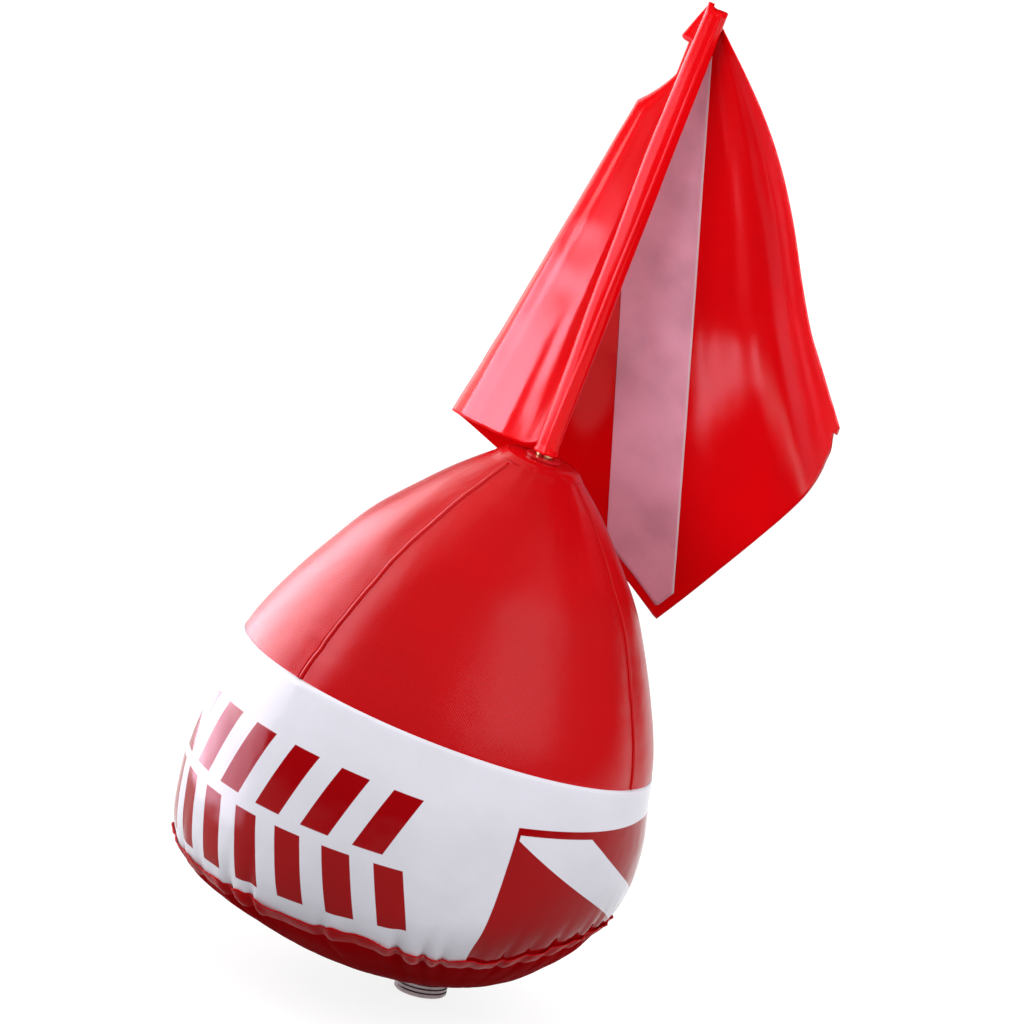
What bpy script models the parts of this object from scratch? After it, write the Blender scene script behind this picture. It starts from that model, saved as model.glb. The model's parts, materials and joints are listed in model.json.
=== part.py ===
"""Dive flag float: an inflated buoy, weighted at its foot, with a flag that swivels on a pull-out mast.

Metres, +Z up. The origin is the centre of the weight's flat foot, on which the float stands.
The cone and its mast lean to the right (+X) and back (+Y), as an inflated skin on a small foot does.
"""

import math

import bmesh
import bpy
from mathutils import Matrix, Vector

# Fits
GAP = 0.0003

# Inflated body, with heights measured along the mast's line from the bottom seam
BODY_HEIGHT = 0.290
BELLY_RADIUS = 0.1483
SKIN = 0.0010
BAND_HEIGHT = 0.121
BAND_LAP = 0.008
DOME_DEPTH = 0.061
DOME_FLAT = 0.020
BASE_SHIFT = 0.0045
LEAN_RIGHT = math.radians(9.1)
LEAN_BACK = math.radians(5.5)
LEAN_SHARE = 0.38
PROFILE_SHARES = (
    (0.0, 0.931), (0.062, 0.980), (0.134, 1.0), (0.207, 1.0), (0.284, 0.990), (0.362, 0.961), (0.439, 0.924),
    (0.516, 0.866), (0.594, 0.793), (0.672, 0.711), (0.752, 0.617), (0.828, 0.496), (0.911, 0.350), (0.972, 0.2225),
    (1.0, 0.148))
BODY_SIDES = 48
GORE_SEAMS = (-18, -3, 14)
BAND_SEAM = 14
BAND_ROWS = 9
GORE_ROWS = 13
DOME_RADIUS_SHARES = (1.0, 0.97, 0.90, 0.80, 0.69, 0.57, 0.45, 0.33, 0.22)

# Welds
SEAM_TAPE_WIDTH = 0.004
SEAM_TAPE_RISE = 0.0008
RIM_RISE = 0.006
RIM_DROP = 0.004
RIM_THICKNESS = 0.0014
RIM_BULGE = 0.0012

# Collar and mast
COLLAR_THICKNESS = 0.0045
COLLAR_SPIGOT = 0.006
COLLAR_TOP_SHARE = 0.86
SOCKET_BORE = 0.0037
SOCKET_WALL = 0.0025
SOCKET_DEPTH = 0.088
SOCKET_FLANGE_RADIUS = 0.0115
SOCKET_FLANGE = 0.0015
MAST_RADIUS = 0.0034
FERRULE_RADIUS = 0.0055
FERRULE_HEIGHT = 0.0045
TIP_CAP_WALL = 0.0007
TIP_CAP_LENGTH = 0.012

# Flag
HOIST = 0.300
FLY = 0.287
SHEET = 0.0008
SHEET_CORNER = 0.012
STRIPE_WIDTH = 0.050
STRIPE_SHEET = 0.0004
STRIPE_START = 0.020
STRIPE_BORDER = 0.0065
STRIPE_FIRST_RAY = math.radians(25)
SLEEVE_HALF_WIDTH = 0.0064
SLEEVE_HALF_DEPTH = 0.0056
SLEEVE_WALL = 0.0009
SLEEVE_TAB = 0.0020
SLEEVE_PEAK = 0.0045
SLEEVE_SIDES = 24
FLAP_WIDTH = 0.009
FLAP_LENGTH = 0.047
SHOULDER_END = 0.078
FOLD_WIDTH = 0.0135
FOLD_SPREAD_SHARE = 0.159
FOLD_FADE_FROM = math.radians(15)
FOLD_FADE_TO = math.radians(25)
BOW = math.radians(12)
BOW_START = 0.040
BOW_END = 0.230
BOW_FROM_RAY = math.radians(45)
RAYS_TO_CORNER = 20
RAYS_PAST_CORNER = 16
RING_SHARES = (0.0, 0.03, 0.07, 0.11, 0.15, 0.19, 0.24, 0.32, 0.43, 0.57, 0.71, 0.86, 1.0)
STRIPE_RING_SHARES = (0.0, 0.06, 0.13, 0.22, 0.36, 0.52, 0.68, 0.84, 1.0)
# Directions in which the sheet leaves the top of the mast, in degrees to the right of the mast and behind it
FOLDS = (
    (0.0, 0.0), (-5.0, 0.4), (-9.8, 1.6), (-11.8, 3.8), (-10.6, 6.4), (-5.2, 9.2), (1.7, 12.2), (8.1, 13.0),
    (15.8, 11.0), (22.8, 4.4), (29.2, -2.0), (31.9, -5.9), (34.4, -14.5), (35.8, -23.5), (36.5, -33.0))

# Weight at the foot
FOOT_RIGHT = 0.035
FOOT_BACK = 0.012
FOOT_RADIUS = 0.017
FOOT_HEIGHT = 0.011
FOOT_GROOVE = 0.0006
FOOT_CHAMFER = 0.0008
STUD_SEAT = 0.005
GASKET = 0.0012
GASKET_RADIUS = 0.0155
WEIGHT_RADIUS = 0.030
WEIGHT_HEIGHT = 0.022
WEIGHT_CHAMFER = 0.010
STUD_RADIUS = 0.004
WASHER_RADIUS = 0.009
WASHER = 0.0016
NUT_APOTHEM = 0.0065
NUT_HEIGHT = 0.0065
STUD_PROUD = 0.002

# Inflation valve, on the back of the cone
VALVE_ANGLE = math.radians(62)
VALVE_ABOVE_BAND = 0.016
VALVE_PATCH_RADIUS = 0.018
VALVE_PATCH = 0.0015
VALVE_RADIUS = 0.0080
VALVE_WALL = 0.0012
VALVE_RISE = 0.0120
VALVE_DROP = 0.0060
SHOULDER_RADIUS = 0.0110
SHOULDER = 0.0015
WEB_BASE = 0.0020
WEB = 0.0012
WEB_HOLE = 0.0036
STEM_RADIUS = 0.0015
SEAL = 0.0010
SEAL_RADIUS = 0.0055
DISC = 0.0012
BUTTON_RADIUS = 0.0062
BUTTON = 0.0016
BUTTON_SUNK = 0.0008
SPRING_RADIUS = 0.0050
SPRING_WIRE = 0.00035
SPRING_TURNS = 4
POINTS_PER_TURN = 10
CAP_WALL = 0.0012
CAP_SKIRT = 0.0028
CAP_SLACK = 0.0006
CAP_BARREL_RADIUS = 0.0016
CAP_PIN_RADIUS = 0.0007
CAP_PIN_OUT = 0.0122
CAP_LUG_WIDTH = 0.0040
STRAP_RING = 0.0022
STRAP_WALL = 0.0014
EAR_THICKNESS = 0.0014

# Towing point, on the back of the bottom seam
TOW_ANGLE = math.radians(90)
TOW_PATCH_BOTTOM = 0.0085
TOW_PATCH_HEIGHT = 0.034
TOW_PATCH_WIDTH = 0.032
TOW_PATCH = 0.0012
TAB_WIDTH = 0.018
TAB = 0.0014
TAB_TOP_INSET = 0.004
TOW_BAR_OUT = 0.0105
TOW_BAR_HEIGHT = 0.004
RING_WIRE = 0.0018
RING_WIDTH = 0.028
RING_DEPTH = 0.020
LOOP_POINTS = 12

# Shares and fineness that carry no length
NORMAL_STEP_SHARE = 0.001
PLACING_STEPS = 6
STEEPEST_SHARE = 0.9
GROOVE_SHARES = (0.30, 0.55, 0.80)
CUT_OVERRUN = 0.004
ROUND_SIDES = 32
SMALL_SIDES = 24
SHARP_ANGLE = math.radians(35)

# Places worked out from the sizes
UP = Vector((0, 0, 1))
DOME_FLOOR = FOOT_HEIGHT + GASKET + 2 * GAP
SEAM_CENTRE = Vector((-FOOT_RIGHT, -FOOT_BACK, DOME_FLOOR + DOME_DEPTH))
SEAM_RADIUS = BELLY_RADIUS * PROFILE_SHARES[0][1]
DOME_RUN = SEAM_RADIUS - DOME_FLAT
DOME_BEND = (DOME_RUN**2 + DOME_DEPTH**2) / (2 * DOME_DEPTH)
AXIS = Vector((math.sin(LEAN_RIGHT), math.sin(LEAN_BACK), 0))
AXIS.z = math.sqrt(1 - AXIS.length_squared)
LEAN = AXIS.angle(UP)
LEAN_AXIS = UP.cross(AXIS).normalized()
BEHIND = (Vector((0, 1, 0)) - AXIS * AXIS.y).normalized()
RIGHTWARD = BEHIND.cross(AXIS)
MAST_LINE = SEAM_CENTRE - Vector((BASE_SHIFT, 0, 0))
COLLAR_BASE = BODY_HEIGHT - COLLAR_THICKNESS
VALVE_HEIGHT = BAND_HEIGHT + VALVE_ABOVE_BAND + VALVE_PATCH_RADIUS
FERRULE_BASE = SOCKET_FLANGE + 2 * GAP
FLAG_BASE = FERRULE_BASE + FERRULE_HEIGHT + GAP
FLAG_TOP = FLAG_BASE + HOIST
FLAG_LINE = SLEEVE_HALF_DEPTH + SLEEVE_TAB + GAP + SHEET / 2
SLEEVE_TOP = FLAG_TOP + SLEEVE_PEAK
TIP_CAP_TOP = SLEEVE_TOP - SLEEVE_WALL - GAP
CORNER_RAY = math.atan2(FLY, HOIST)

MATERIALS = {
    "red_coated_cloth": ((0.72, 0.008, 0.016), 0.30, 0.0),
    "white_coated_cloth": ((0.86, 0.85, 0.89), 0.30, 0.0),
    "flag_red": ((0.78, 0.008, 0.016), 0.32, 0.0),
    "flag_white": ((0.86, 0.84, 0.88), 0.32, 0.0),
    "moulded_red": ((0.62, 0.008, 0.014), 0.35, 0.0),
    "moulded_black": ((0.03, 0.03, 0.033), 0.45, 0.0),
    "rubber_black": ((0.025, 0.025, 0.025), 0.75, 0.0),
    "glass_fibre": ((0.80, 0.78, 0.70), 0.35, 0.0),
    "brass": ((0.80, 0.62, 0.34), 0.28, 1.0),
    "steel": ((0.62, 0.61, 0.60), 0.25, 1.0),
    "cast_weight": ((0.22, 0.22, 0.23), 0.60, 0.8),
    "webbing": ((0.035, 0.035, 0.040), 0.85, 0.0),
}


# Scene, materials and meshes

def clear_scene():
    for thing in list(bpy.data.objects):
        bpy.data.objects.remove(thing, do_unlink=True)


def material(name):
    found = bpy.data.materials.get(name)
    if found:
        return found
    colour, roughness, metallic = MATERIALS[name]
    made = bpy.data.materials.new(name)
    made.use_nodes = True
    shader = made.node_tree.nodes["Principled BSDF"]
    shader.inputs["Base Color"].default_value = (*colour, 1)
    shader.inputs["Roughness"].default_value = roughness
    shader.inputs["Metallic"].default_value = metallic
    return made


def add_object(name, data, finish, parent=None):
    made = bpy.data.objects.new(name, data)
    bpy.context.scene.collection.objects.link(made)
    data.materials.append(material(finish))
    made.parent = parent
    return made


def add_empty(name, matrix):
    made = bpy.data.objects.new(name, None)
    bpy.context.scene.collection.objects.link(made)
    made.matrix_world = matrix
    return made


def add_mesh(name, points, faces, finish, parent=None):
    """A closed body from points and faces, with its faces turned outwards and its round sides smooth."""
    shape = bmesh.new()
    vertices = [shape.verts.new(point) for point in points]
    for face in faces:
        shape.faces.new([vertices[index] for index in face])
    bmesh.ops.recalc_face_normals(shape, faces=shape.faces)
    mesh = bpy.data.meshes.new(name)
    shape.to_mesh(mesh)
    shape.free()
    mesh.shade_smooth()
    mesh.set_sharp_from_angle(angle=SHARP_ANGLE)
    return add_object(name, mesh, finish, parent)


def grid_solid(name, front, back, finish, wraps=False, parent=None):
    """A sheet with thickness: two grids of points, front and back, closed round their edges."""
    rows = len(front)
    columns = len(front[0])
    points = [point for row in front + back for point in row]
    far = rows * columns

    def at(row, column):
        return row * columns + column % columns

    faces = []
    for row in range(rows - 1):
        for column in range(columns if wraps else columns - 1):
            quad = (at(row, column), at(row, column + 1), at(row + 1, column + 1), at(row + 1, column))
            faces.append(quad)
            faces.append(tuple(index + far for index in reversed(quad)))
    for row, next_row in ((0, 0), (rows - 1, rows - 1)):
        for column in range(columns if wraps else columns - 1):
            a, b = at(row, column), at(next_row, column + 1)
            faces.append((a, b, b + far, a + far))
    if not wraps:
        for column in (0, columns - 1):
            for row in range(rows - 1):
                a, b = at(row, column), at(row + 1, column)
                faces.append((a, b, b + far, a + far))
    return add_mesh(name, points, faces, finish, parent)


def ring_solid(name, loops, finish, parent=None):
    """A ring from the loops that its cross-section's corners sweep, in order round the section."""
    sides = len(loops[0])
    points = [point for loop in loops for point in loop]
    faces = []
    for index in range(len(loops)):
        here = index * sides
        there = (index + 1) % len(loops) * sides
        for side in range(sides):
            after = (side + 1) % sides
            faces.append((here + side, here + after, there + after, there + side))
    return add_mesh(name, points, faces, finish, parent)


def turned(name, profile, finish, parent=None, sides=ROUND_SIDES):
    """A solid turned about its parent's Z from a closed profile of (radius, height) points."""
    points = []
    rings = []
    for radius, height in profile:
        start = len(points)
        if radius == 0:
            points.append(Vector((0, 0, height)))
            rings.append([start] * sides)
            continue
        for side in range(sides):
            angle = math.tau * side / sides
            points.append(Vector((radius * math.cos(angle), radius * math.sin(angle), height)))
        rings.append(list(range(start, start + sides)))
    faces = []
    for index, ring in enumerate(rings):
        after = rings[(index + 1) % len(rings)]
        for side in range(sides):
            turn = (side + 1) % sides
            corners = (ring[side], ring[turn], after[turn], after[side])
            face = list(dict.fromkeys(corners))
            if len(face) > 2:
                faces.append(face)
    return add_mesh(name, points, faces, finish, parent)


def box(name, low, high, finish, parent=None):
    points = [Vector((x, y, z)) for z in (low[2], high[2]) for y in (low[1], high[1]) for x in (low[0], high[0])]
    faces = ((0, 1, 3, 2), (4, 5, 7, 6), (0, 1, 5, 4), (2, 3, 7, 6), (0, 2, 6, 4), (1, 3, 7, 5))
    return add_mesh(name, points, faces, finish, parent)


def bar_across(name, radius, half_length, centre, finish, parent, sides=SMALL_SIDES):
    """A round bar along its parent's X."""
    points = []
    for end in (-half_length, half_length):
        for side in range(sides):
            angle = math.tau * side / sides
            points.append(centre + Vector((end, radius * math.cos(angle), radius * math.sin(angle))))
    faces = [tuple(range(sides)), tuple(range(sides, 2 * sides))]
    for side in range(sides):
        after = (side + 1) % sides
        faces.append((side, after, sides + after, sides + side))
    return add_mesh(name, points, faces, finish, parent)


def wire(name, points, radius, finish, parent, closed=False, resolution=2):
    """A round wire that follows the points."""
    path = bpy.data.curves.new(name, "CURVE")
    path.dimensions = "3D"
    path.bevel_depth = radius
    path.bevel_resolution = resolution
    path.use_fill_caps = True
    spline = path.splines.new("POLY")
    spline.points.add(len(points) - 1)
    for point, place in zip(spline.points, points):
        point.co = (*place, 1)
    spline.use_cyclic_u = closed
    return add_object(name, path, finish, parent)


def combine(target, helper, operation):
    """Joins a helper to the target, or cuts it away, and leaves the helper out of the model."""
    change = target.modifiers.new(helper.name, "BOOLEAN")
    change.operation = operation
    change.solver = "EXACT"
    change.object = helper
    helper.hide_render = True
    helper.display_type = "WIRE"


# Curves and surfaces of the body

def ease(value):
    value = min(max(value, 0), 1)
    return value * value * (3 - 2 * value)


def curve_through(table, x):
    """The smooth curve through a table of (x, y) points, carried straight on past its ends."""
    xs = [pair[0] for pair in table]
    ys = [pair[1] for pair in table]
    last = len(xs) - 1

    def slope(index):
        low, high = max(index - 1, 0), min(index + 1, last)
        return (ys[high] - ys[low]) / (xs[high] - xs[low])

    if x <= xs[0]:
        return ys[0] + slope(0) * (x - xs[0])
    if x >= xs[last]:
        return ys[last] + slope(last) * (x - xs[last])
    index = max(i for i in range(last) if xs[i] <= x)
    width = xs[index + 1] - xs[index]
    t = (x - xs[index]) / width
    start = (1 + 2 * t) * (1 - t) ** 2 * ys[index] + t * (1 - t) ** 2 * width * slope(index)
    end = t * t * (3 - 2 * t) * ys[index + 1] + t * t * (t - 1) * width * slope(index + 1)
    return start + end


def body_radius(height):
    return BELLY_RADIUS * curve_through(PROFILE_SHARES, height / BODY_HEIGHT)


def body_surface(height, angle):
    """A point of the skin: rings level at the bottom seam, square to the mast from LEAN_SHARE upwards."""
    share = ease(height / (LEAN_SHARE * BODY_HEIGHT))
    centre = MAST_LINE + Vector((BASE_SHIFT * (1 - share), 0, 0)) + AXIS * height
    spoke = Vector((math.cos(angle), math.sin(angle), 0)) * body_radius(height)
    return centre + Matrix.Rotation(LEAN * share, 3, LEAN_AXIS) @ spoke


def dome_surface(radius, angle):
    """A point of the bottom panel, whose rings slide across to the foot as they get smaller."""
    run = max(radius - DOME_FLAT, 0)
    rise = DOME_BEND - math.sqrt(DOME_BEND**2 - min(run, DOME_BEND) ** 2)
    share = run / DOME_RUN
    spoke = Vector((math.cos(angle), math.sin(angle), 0)) * radius
    return Vector((SEAM_CENTRE.x * share, SEAM_CENTRE.y * share, DOME_FLOOR + rise)) + spoke


def dome_radius_at(drop):
    """The bottom panel's radius at a drop below the bottom seam."""
    rise = DOME_DEPTH - drop
    return DOME_FLAT + math.sqrt(DOME_BEND**2 - (DOME_BEND - rise) ** 2)


def normal_of(surface, first, angle):
    step = NORMAL_STEP_SHARE * BODY_HEIGHT
    turn = NORMAL_STEP_SHARE
    along = surface(first + step, angle) - surface(first - step, angle)
    across = surface(first, angle + turn) - surface(first, angle - turn)
    return across.cross(along).normalized()


def skin_point(surface, first, angle, offset=0):
    return surface(first, angle) + normal_of(surface, first, angle) * offset


def body_point(height, angle, offset=0):
    return skin_point(body_surface, height, angle, offset)


def near_seam_point(height, angle, offset):
    """A point off the skin near the bottom seam: off the band above it, off the bottom panel below it."""
    if height >= 0:
        return body_point(height, angle, offset)
    return skin_point(dome_surface, dome_radius_at(-height), angle, offset)


def side_angle(side):
    return math.tau * side / BODY_SIDES


def spread(low, high, count):
    return [low + (high - low) * index / (count - 1) for index in range(count)]


def skin_frame(height, angle):
    """A frame on the skin: X across, Y up the slope, Z outwards."""
    outward = normal_of(body_surface, height, angle)
    step = NORMAL_STEP_SHARE * BODY_HEIGHT
    up_slope = (body_surface(height + step, angle) - body_surface(height - step, angle)).normalized()
    across = up_slope.cross(outward)
    matrix = Matrix((across, up_slope, outward)).transposed().to_4x4()
    matrix.translation = body_surface(height, angle)
    return matrix


def under(frame, across, up_slope, offset, height, angle):
    """The point at an offset from the skin that lies under a place of a skin frame."""
    target = frame @ Vector((across, up_slope, 0))
    x_axis = frame.col[0].to_3d()
    y_axis = frame.col[1].to_3d()
    lift = y_axis.dot(AXIS)
    for _ in range(PLACING_STEPS):
        miss = target - body_surface(height, angle)
        angle += miss.dot(x_axis) / body_radius(height)
        height += miss.dot(y_axis) * lift
    return body_point(height, angle, offset)


# Body panels and welds

def make_print_band():
    inner = SKIN * 2 + GAP
    heights = spread(0, BAND_HEIGHT, BAND_ROWS)
    section = [(height, 0) for height in heights]
    section += [(BAND_HEIGHT, -SKIN - GAP), (BAND_HEIGHT + BAND_LAP, -SKIN - GAP), (BAND_HEIGHT + BAND_LAP, -inner)]
    section += [(BAND_HEIGHT - BAND_LAP / 2, -inner), (BAND_HEIGHT - BAND_LAP, -SKIN)]
    section += [(height, -SKIN) for height in reversed(heights[:-1])]
    loops = [[body_point(height, side_angle(side), offset) for side in range(BODY_SIDES)] for height, offset in section]
    ring_solid("print_band", loops, "white_coated_cloth")


def make_gores():
    heights = spread(BAND_HEIGHT + GAP, COLLAR_BASE - GAP, GORE_ROWS)
    for number, first in enumerate(GORE_SEAMS):
        last = GORE_SEAMS[(number + 1) % len(GORE_SEAMS)]
        if last < first:
            last += BODY_SIDES
        sides = range(first, last + 1)

        def edge_angle(side, height):
            inset = GAP / 2 / body_radius(height)
            return side_angle(side) + inset * ((side == first) - (side == last))

        front = [[body_point(height, edge_angle(side, height)) for side in sides] for height in heights]
        back = [[body_point(height, edge_angle(side, height), -SKIN) for side in sides] for height in heights]
        grid_solid(f"cone_gore_{number + 1}", front, back, "red_coated_cloth")


def make_tape(name, side, heights, finish):
    """A narrow raised strip on the skin, over one seam."""
    def strip(offset):
        rows = []
        for height in heights:
            half = SEAM_TAPE_WIDTH / 2 / body_radius(height)
            rows.append([body_point(height, side_angle(side) + turn * half, offset) for turn in (-1, 0, 1)])
        return rows

    grid_solid(name, strip(GAP + SEAM_TAPE_RISE), strip(GAP), finish)


def make_tapes():
    cone_heights = spread(BAND_HEIGHT + GAP, COLLAR_BASE - GAP, GORE_ROWS)
    for number, side in enumerate(GORE_SEAMS):
        make_tape(f"cone_seam_tape_{number + 1}", side, cone_heights, "red_coated_cloth")
    low, high = RIM_RISE + GAP, BAND_HEIGHT - GAP
    between = [height for height in spread(0, BAND_HEIGHT, BAND_ROWS) if low + GAP < height < high - GAP]
    make_tape("band_seam_tape", BAND_SEAM, [low] + between + [high], "white_coated_cloth")


def make_bottom_panel():
    radii = [SEAM_RADIUS * share - GAP * (share == 1) for share in DOME_RADIUS_SHARES]
    radii += [DOME_FLAT, STUD_RADIUS + GAP]
    angles = [side_angle(side) for side in range(BODY_SIDES)]
    outer = [[skin_point(dome_surface, radius, angle) for angle in angles] for radius in radii]
    inner = [[skin_point(dome_surface, radius, angle, -SKIN) for angle in angles] for radius in radii]
    grid_solid("bottom_panel", outer, inner, "red_coated_cloth", wraps=True)


def make_weld_rim():
    outside = GAP + RIM_THICKNESS
    section = [(RIM_RISE, GAP), (RIM_RISE, outside), (RIM_RISE / 2, outside), (0, outside + RIM_BULGE)]
    section += [(-RIM_DROP, outside), (-RIM_DROP, GAP), (-RIM_DROP / 2, GAP), (0, GAP), (RIM_RISE / 2, GAP)]
    loops = [[near_seam_point(height, side_angle(side), offset) for side in range(BODY_SIDES)]
             for height, offset in section]
    ring_solid("bottom_weld_rim", loops, "red_coated_cloth")


# Collar, socket and mast, in the mast's frame with Z up the mast from the collar's top

def make_collar_and_socket(mast_frame):
    tube_radius = SOCKET_BORE + SOCKET_WALL
    edge = body_radius(COLLAR_BASE)
    spigot = body_radius(COLLAR_BASE - GAP) - SKIN / body_normal_share(COLLAR_BASE) - GAP
    hole = tube_radius + GAP
    turned("top_collar", [
        (hole, -COLLAR_THICKNESS - COLLAR_SPIGOT), (spigot - SKIN, -COLLAR_THICKNESS - COLLAR_SPIGOT),
        (spigot, -COLLAR_THICKNESS), (edge, -COLLAR_THICKNESS), (edge * COLLAR_TOP_SHARE, -COLLAR_THICKNESS / 5),
        (edge * COLLAR_TOP_SHARE**2, 0), (hole, 0)], "moulded_red", mast_frame, BODY_SIDES)
    turned("mast_socket", [
        (0, -SOCKET_DEPTH - SOCKET_WALL), (tube_radius, -SOCKET_DEPTH - SOCKET_WALL), (tube_radius, GAP),
        (SOCKET_FLANGE_RADIUS, GAP), (SOCKET_FLANGE_RADIUS, GAP + SOCKET_FLANGE), (SOCKET_BORE, GAP + SOCKET_FLANGE),
        (SOCKET_BORE, -SOCKET_DEPTH), (0, -SOCKET_DEPTH)], "moulded_red", mast_frame)


def body_normal_share(height):
    """How much of the skin's normal points away from the mast's line."""
    step = NORMAL_STEP_SHARE * BODY_HEIGHT
    slope = (body_radius(height + step) - body_radius(height - step)) / (2 * step)
    return 1 / math.sqrt(1 + slope * slope)


def make_mast(mast_frame):
    mast_top = TIP_CAP_TOP - TIP_CAP_WALL - GAP
    turned("mast", [
        (0, -SOCKET_DEPTH + GAP), (MAST_RADIUS, -SOCKET_DEPTH + GAP), (MAST_RADIUS, mast_top), (0, mast_top)],
        "glass_fibre", mast_frame, SMALL_SIDES)
    bore = MAST_RADIUS + GAP
    turned("mast_ferrule", [
        (bore, FERRULE_BASE), (FERRULE_RADIUS, FERRULE_BASE), (FERRULE_RADIUS, FERRULE_BASE + FERRULE_HEIGHT * 3 / 4),
        (FERRULE_RADIUS - FERRULE_HEIGHT / 4, FERRULE_BASE + FERRULE_HEIGHT), (bore, FERRULE_BASE + FERRULE_HEIGHT)],
        "brass", mast_frame, SMALL_SIDES)
    turned("mast_tip_cap", [
        (bore, TIP_CAP_TOP - TIP_CAP_LENGTH), (bore + TIP_CAP_WALL, TIP_CAP_TOP - TIP_CAP_LENGTH),
        (bore + TIP_CAP_WALL, TIP_CAP_TOP - TIP_CAP_WALL), (bore, TIP_CAP_TOP), (0, TIP_CAP_TOP),
        (0, TIP_CAP_TOP - TIP_CAP_WALL), (bore, TIP_CAP_TOP - TIP_CAP_WALL)], "moulded_black", mast_frame, SMALL_SIDES)


# Flag, in the mast's frame

def curve_points(knots, steps=24):
    """A smooth curve through flat points."""
    ends = [(2 * knots[0][0] - knots[1][0], 2 * knots[0][1] - knots[1][1])]
    tail = [(2 * knots[-1][0] - knots[-2][0], 2 * knots[-1][1] - knots[-2][1])]
    every = [Vector(knot) for knot in ends + list(knots) + tail]
    made = []
    for index in range(1, len(every) - 2):
        a, b, c, d = every[index - 1:index + 3]
        for step in range(steps):
            t = step / steps
            made.append((2 * b + (c - a) * t + (2 * a - 5 * b + 4 * c - d) * t**2 + (3 * b - a - 3 * c + d) * t**3) / 2)
    made.append(every[-2])
    return made


def direction(bend):
    """The unit vector at a bend, in radians to the right of straight down the mast and behind it."""
    tilt = bend.length
    turn = math.atan2(bend.y, bend.x)
    return Vector((math.sin(tilt) * math.cos(turn), math.sin(tilt) * math.sin(turn), -math.cos(tilt)))


def measured_folds():
    """The fold curve with the angle of sheet that is used up to each of its points."""
    bends = [point * math.radians(1) for point in curve_points(FOLDS)]
    used = [0.0]
    for before, after in zip(bends, bends[1:]):
        used.append(used[-1] + direction(before).angle(direction(after)))
    return bends, used


FOLD_BENDS, FOLD_ANGLES = measured_folds()


def fold_bend(ray):
    """The bend of the sheet along one of its rays, by the ray's angle from the mast in the flat sheet."""
    index = 1
    while FOLD_ANGLES[index] < ray and index < len(FOLD_ANGLES) - 1:
        index += 1
    low, high = FOLD_ANGLES[index - 1], FOLD_ANGLES[index]
    return FOLD_BENDS[index - 1].lerp(FOLD_BENDS[index], (ray - low) / (high - low))


def left_widening(reach):
    """How much wider the left fold stands near the top than the plain cone of the sheet."""
    plain = FOLD_WIDTH + FOLD_SPREAD_SHARE * reach
    width = FLAP_WIDTH + (plain - FLAP_WIDTH) * ease((reach - FLAP_LENGTH) / (SHOULDER_END - FLAP_LENGTH))
    widest = max(-bend.x for bend in FOLD_BENDS)
    return math.asin(min(width / reach, STEEPEST_SHARE)) / widest


def flag_surface(reach, ray):
    """The middle of the sheet at a reach from its top corner along a ray."""
    fade = 1 - ease((ray - FOLD_FADE_FROM) / (FOLD_FADE_TO - FOLD_FADE_FROM))
    bend = fold_bend(ray) * (1 + (left_widening(reach) - 1) * fade)
    free = min(max((ray - BOW_FROM_RAY) / (math.pi / 2 - BOW_FROM_RAY), 0), 1)
    bend.x += BOW * (1 - ease((reach - BOW_START) / (BOW_END - BOW_START))) * free
    return Vector((0, FLAG_LINE, FLAG_TOP)) + direction(bend) * reach


def flag_point(reach, ray, offset):
    """A point off the sheet, on the side that faces forward where the sheet passes behind the mast."""
    step = NORMAL_STEP_SHARE * HOIST
    turn = NORMAL_STEP_SHARE
    low, high = max(ray - turn, 0), min(ray + turn, math.pi / 2)
    along = flag_surface(reach + step, ray) - flag_surface(reach - step, ray)
    across = flag_surface(reach, high) - flag_surface(reach, low)
    return flag_surface(reach, ray) + along.cross(across).normalized() * offset


def sheet_rays():
    past = spread(CORNER_RAY, math.pi / 2, RAYS_PAST_CORNER + 1)[1:]
    return spread(0, CORNER_RAY, RAYS_TO_CORNER + 1) + [math.pi / 4] + past


def make_flag_panel(flag_frame):
    rays = sorted(set(sheet_rays() + [STRIPE_FIRST_RAY]))

    def side(offset):
        rows = []
        for share in RING_SHARES:
            row = []
            for ray in rays:
                end = min(HOIST / max(math.cos(ray), math.cos(CORNER_RAY)), FLY / max(math.sin(ray), math.sin(CORNER_RAY)))
                row.append(flag_point(SHEET_CORNER + (end - SHEET_CORNER) * share, ray, offset))
            rows.append(row)
        return rows

    grid_solid("flag_panel", side(SHEET / 2), side(-SHEET / 2), "flag_red", parent=flag_frame)


def make_flag_stripes(flag_frame):
    """The white diagonal, a thin layer on each face, from near the top of the hoist to the lower fly corner."""
    rays = sorted(ray for ray in set(sheet_rays() + [STRIPE_FIRST_RAY]) if STRIPE_FIRST_RAY <= ray <= math.pi / 4)
    drop = STRIPE_WIDTH * math.sqrt(2)

    def end_of(ray):
        spread_out = math.cos(ray) - math.sin(ray)
        reach = min((HOIST - STRIPE_BORDER) / math.cos(ray), (FLY - STRIPE_BORDER) / math.sin(ray))
        return min(reach, drop / spread_out) if spread_out * reach > drop else reach

    def side(offset):
        rows = []
        for share in STRIPE_RING_SHARES:
            row = []
            for ray in rays:
                start = STRIPE_START / math.sin(ray)
                row.append(flag_point(start + (end_of(ray) - start) * share, ray, offset))
            rows.append(row)
        return rows

    near = SHEET / 2 + GAP
    far = near + STRIPE_SHEET
    grid_solid("flag_stripe_front", side(far), side(near), "flag_white", parent=flag_frame)
    grid_solid("flag_stripe_back", side(-far), side(-near), "flag_white", parent=flag_frame)


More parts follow.
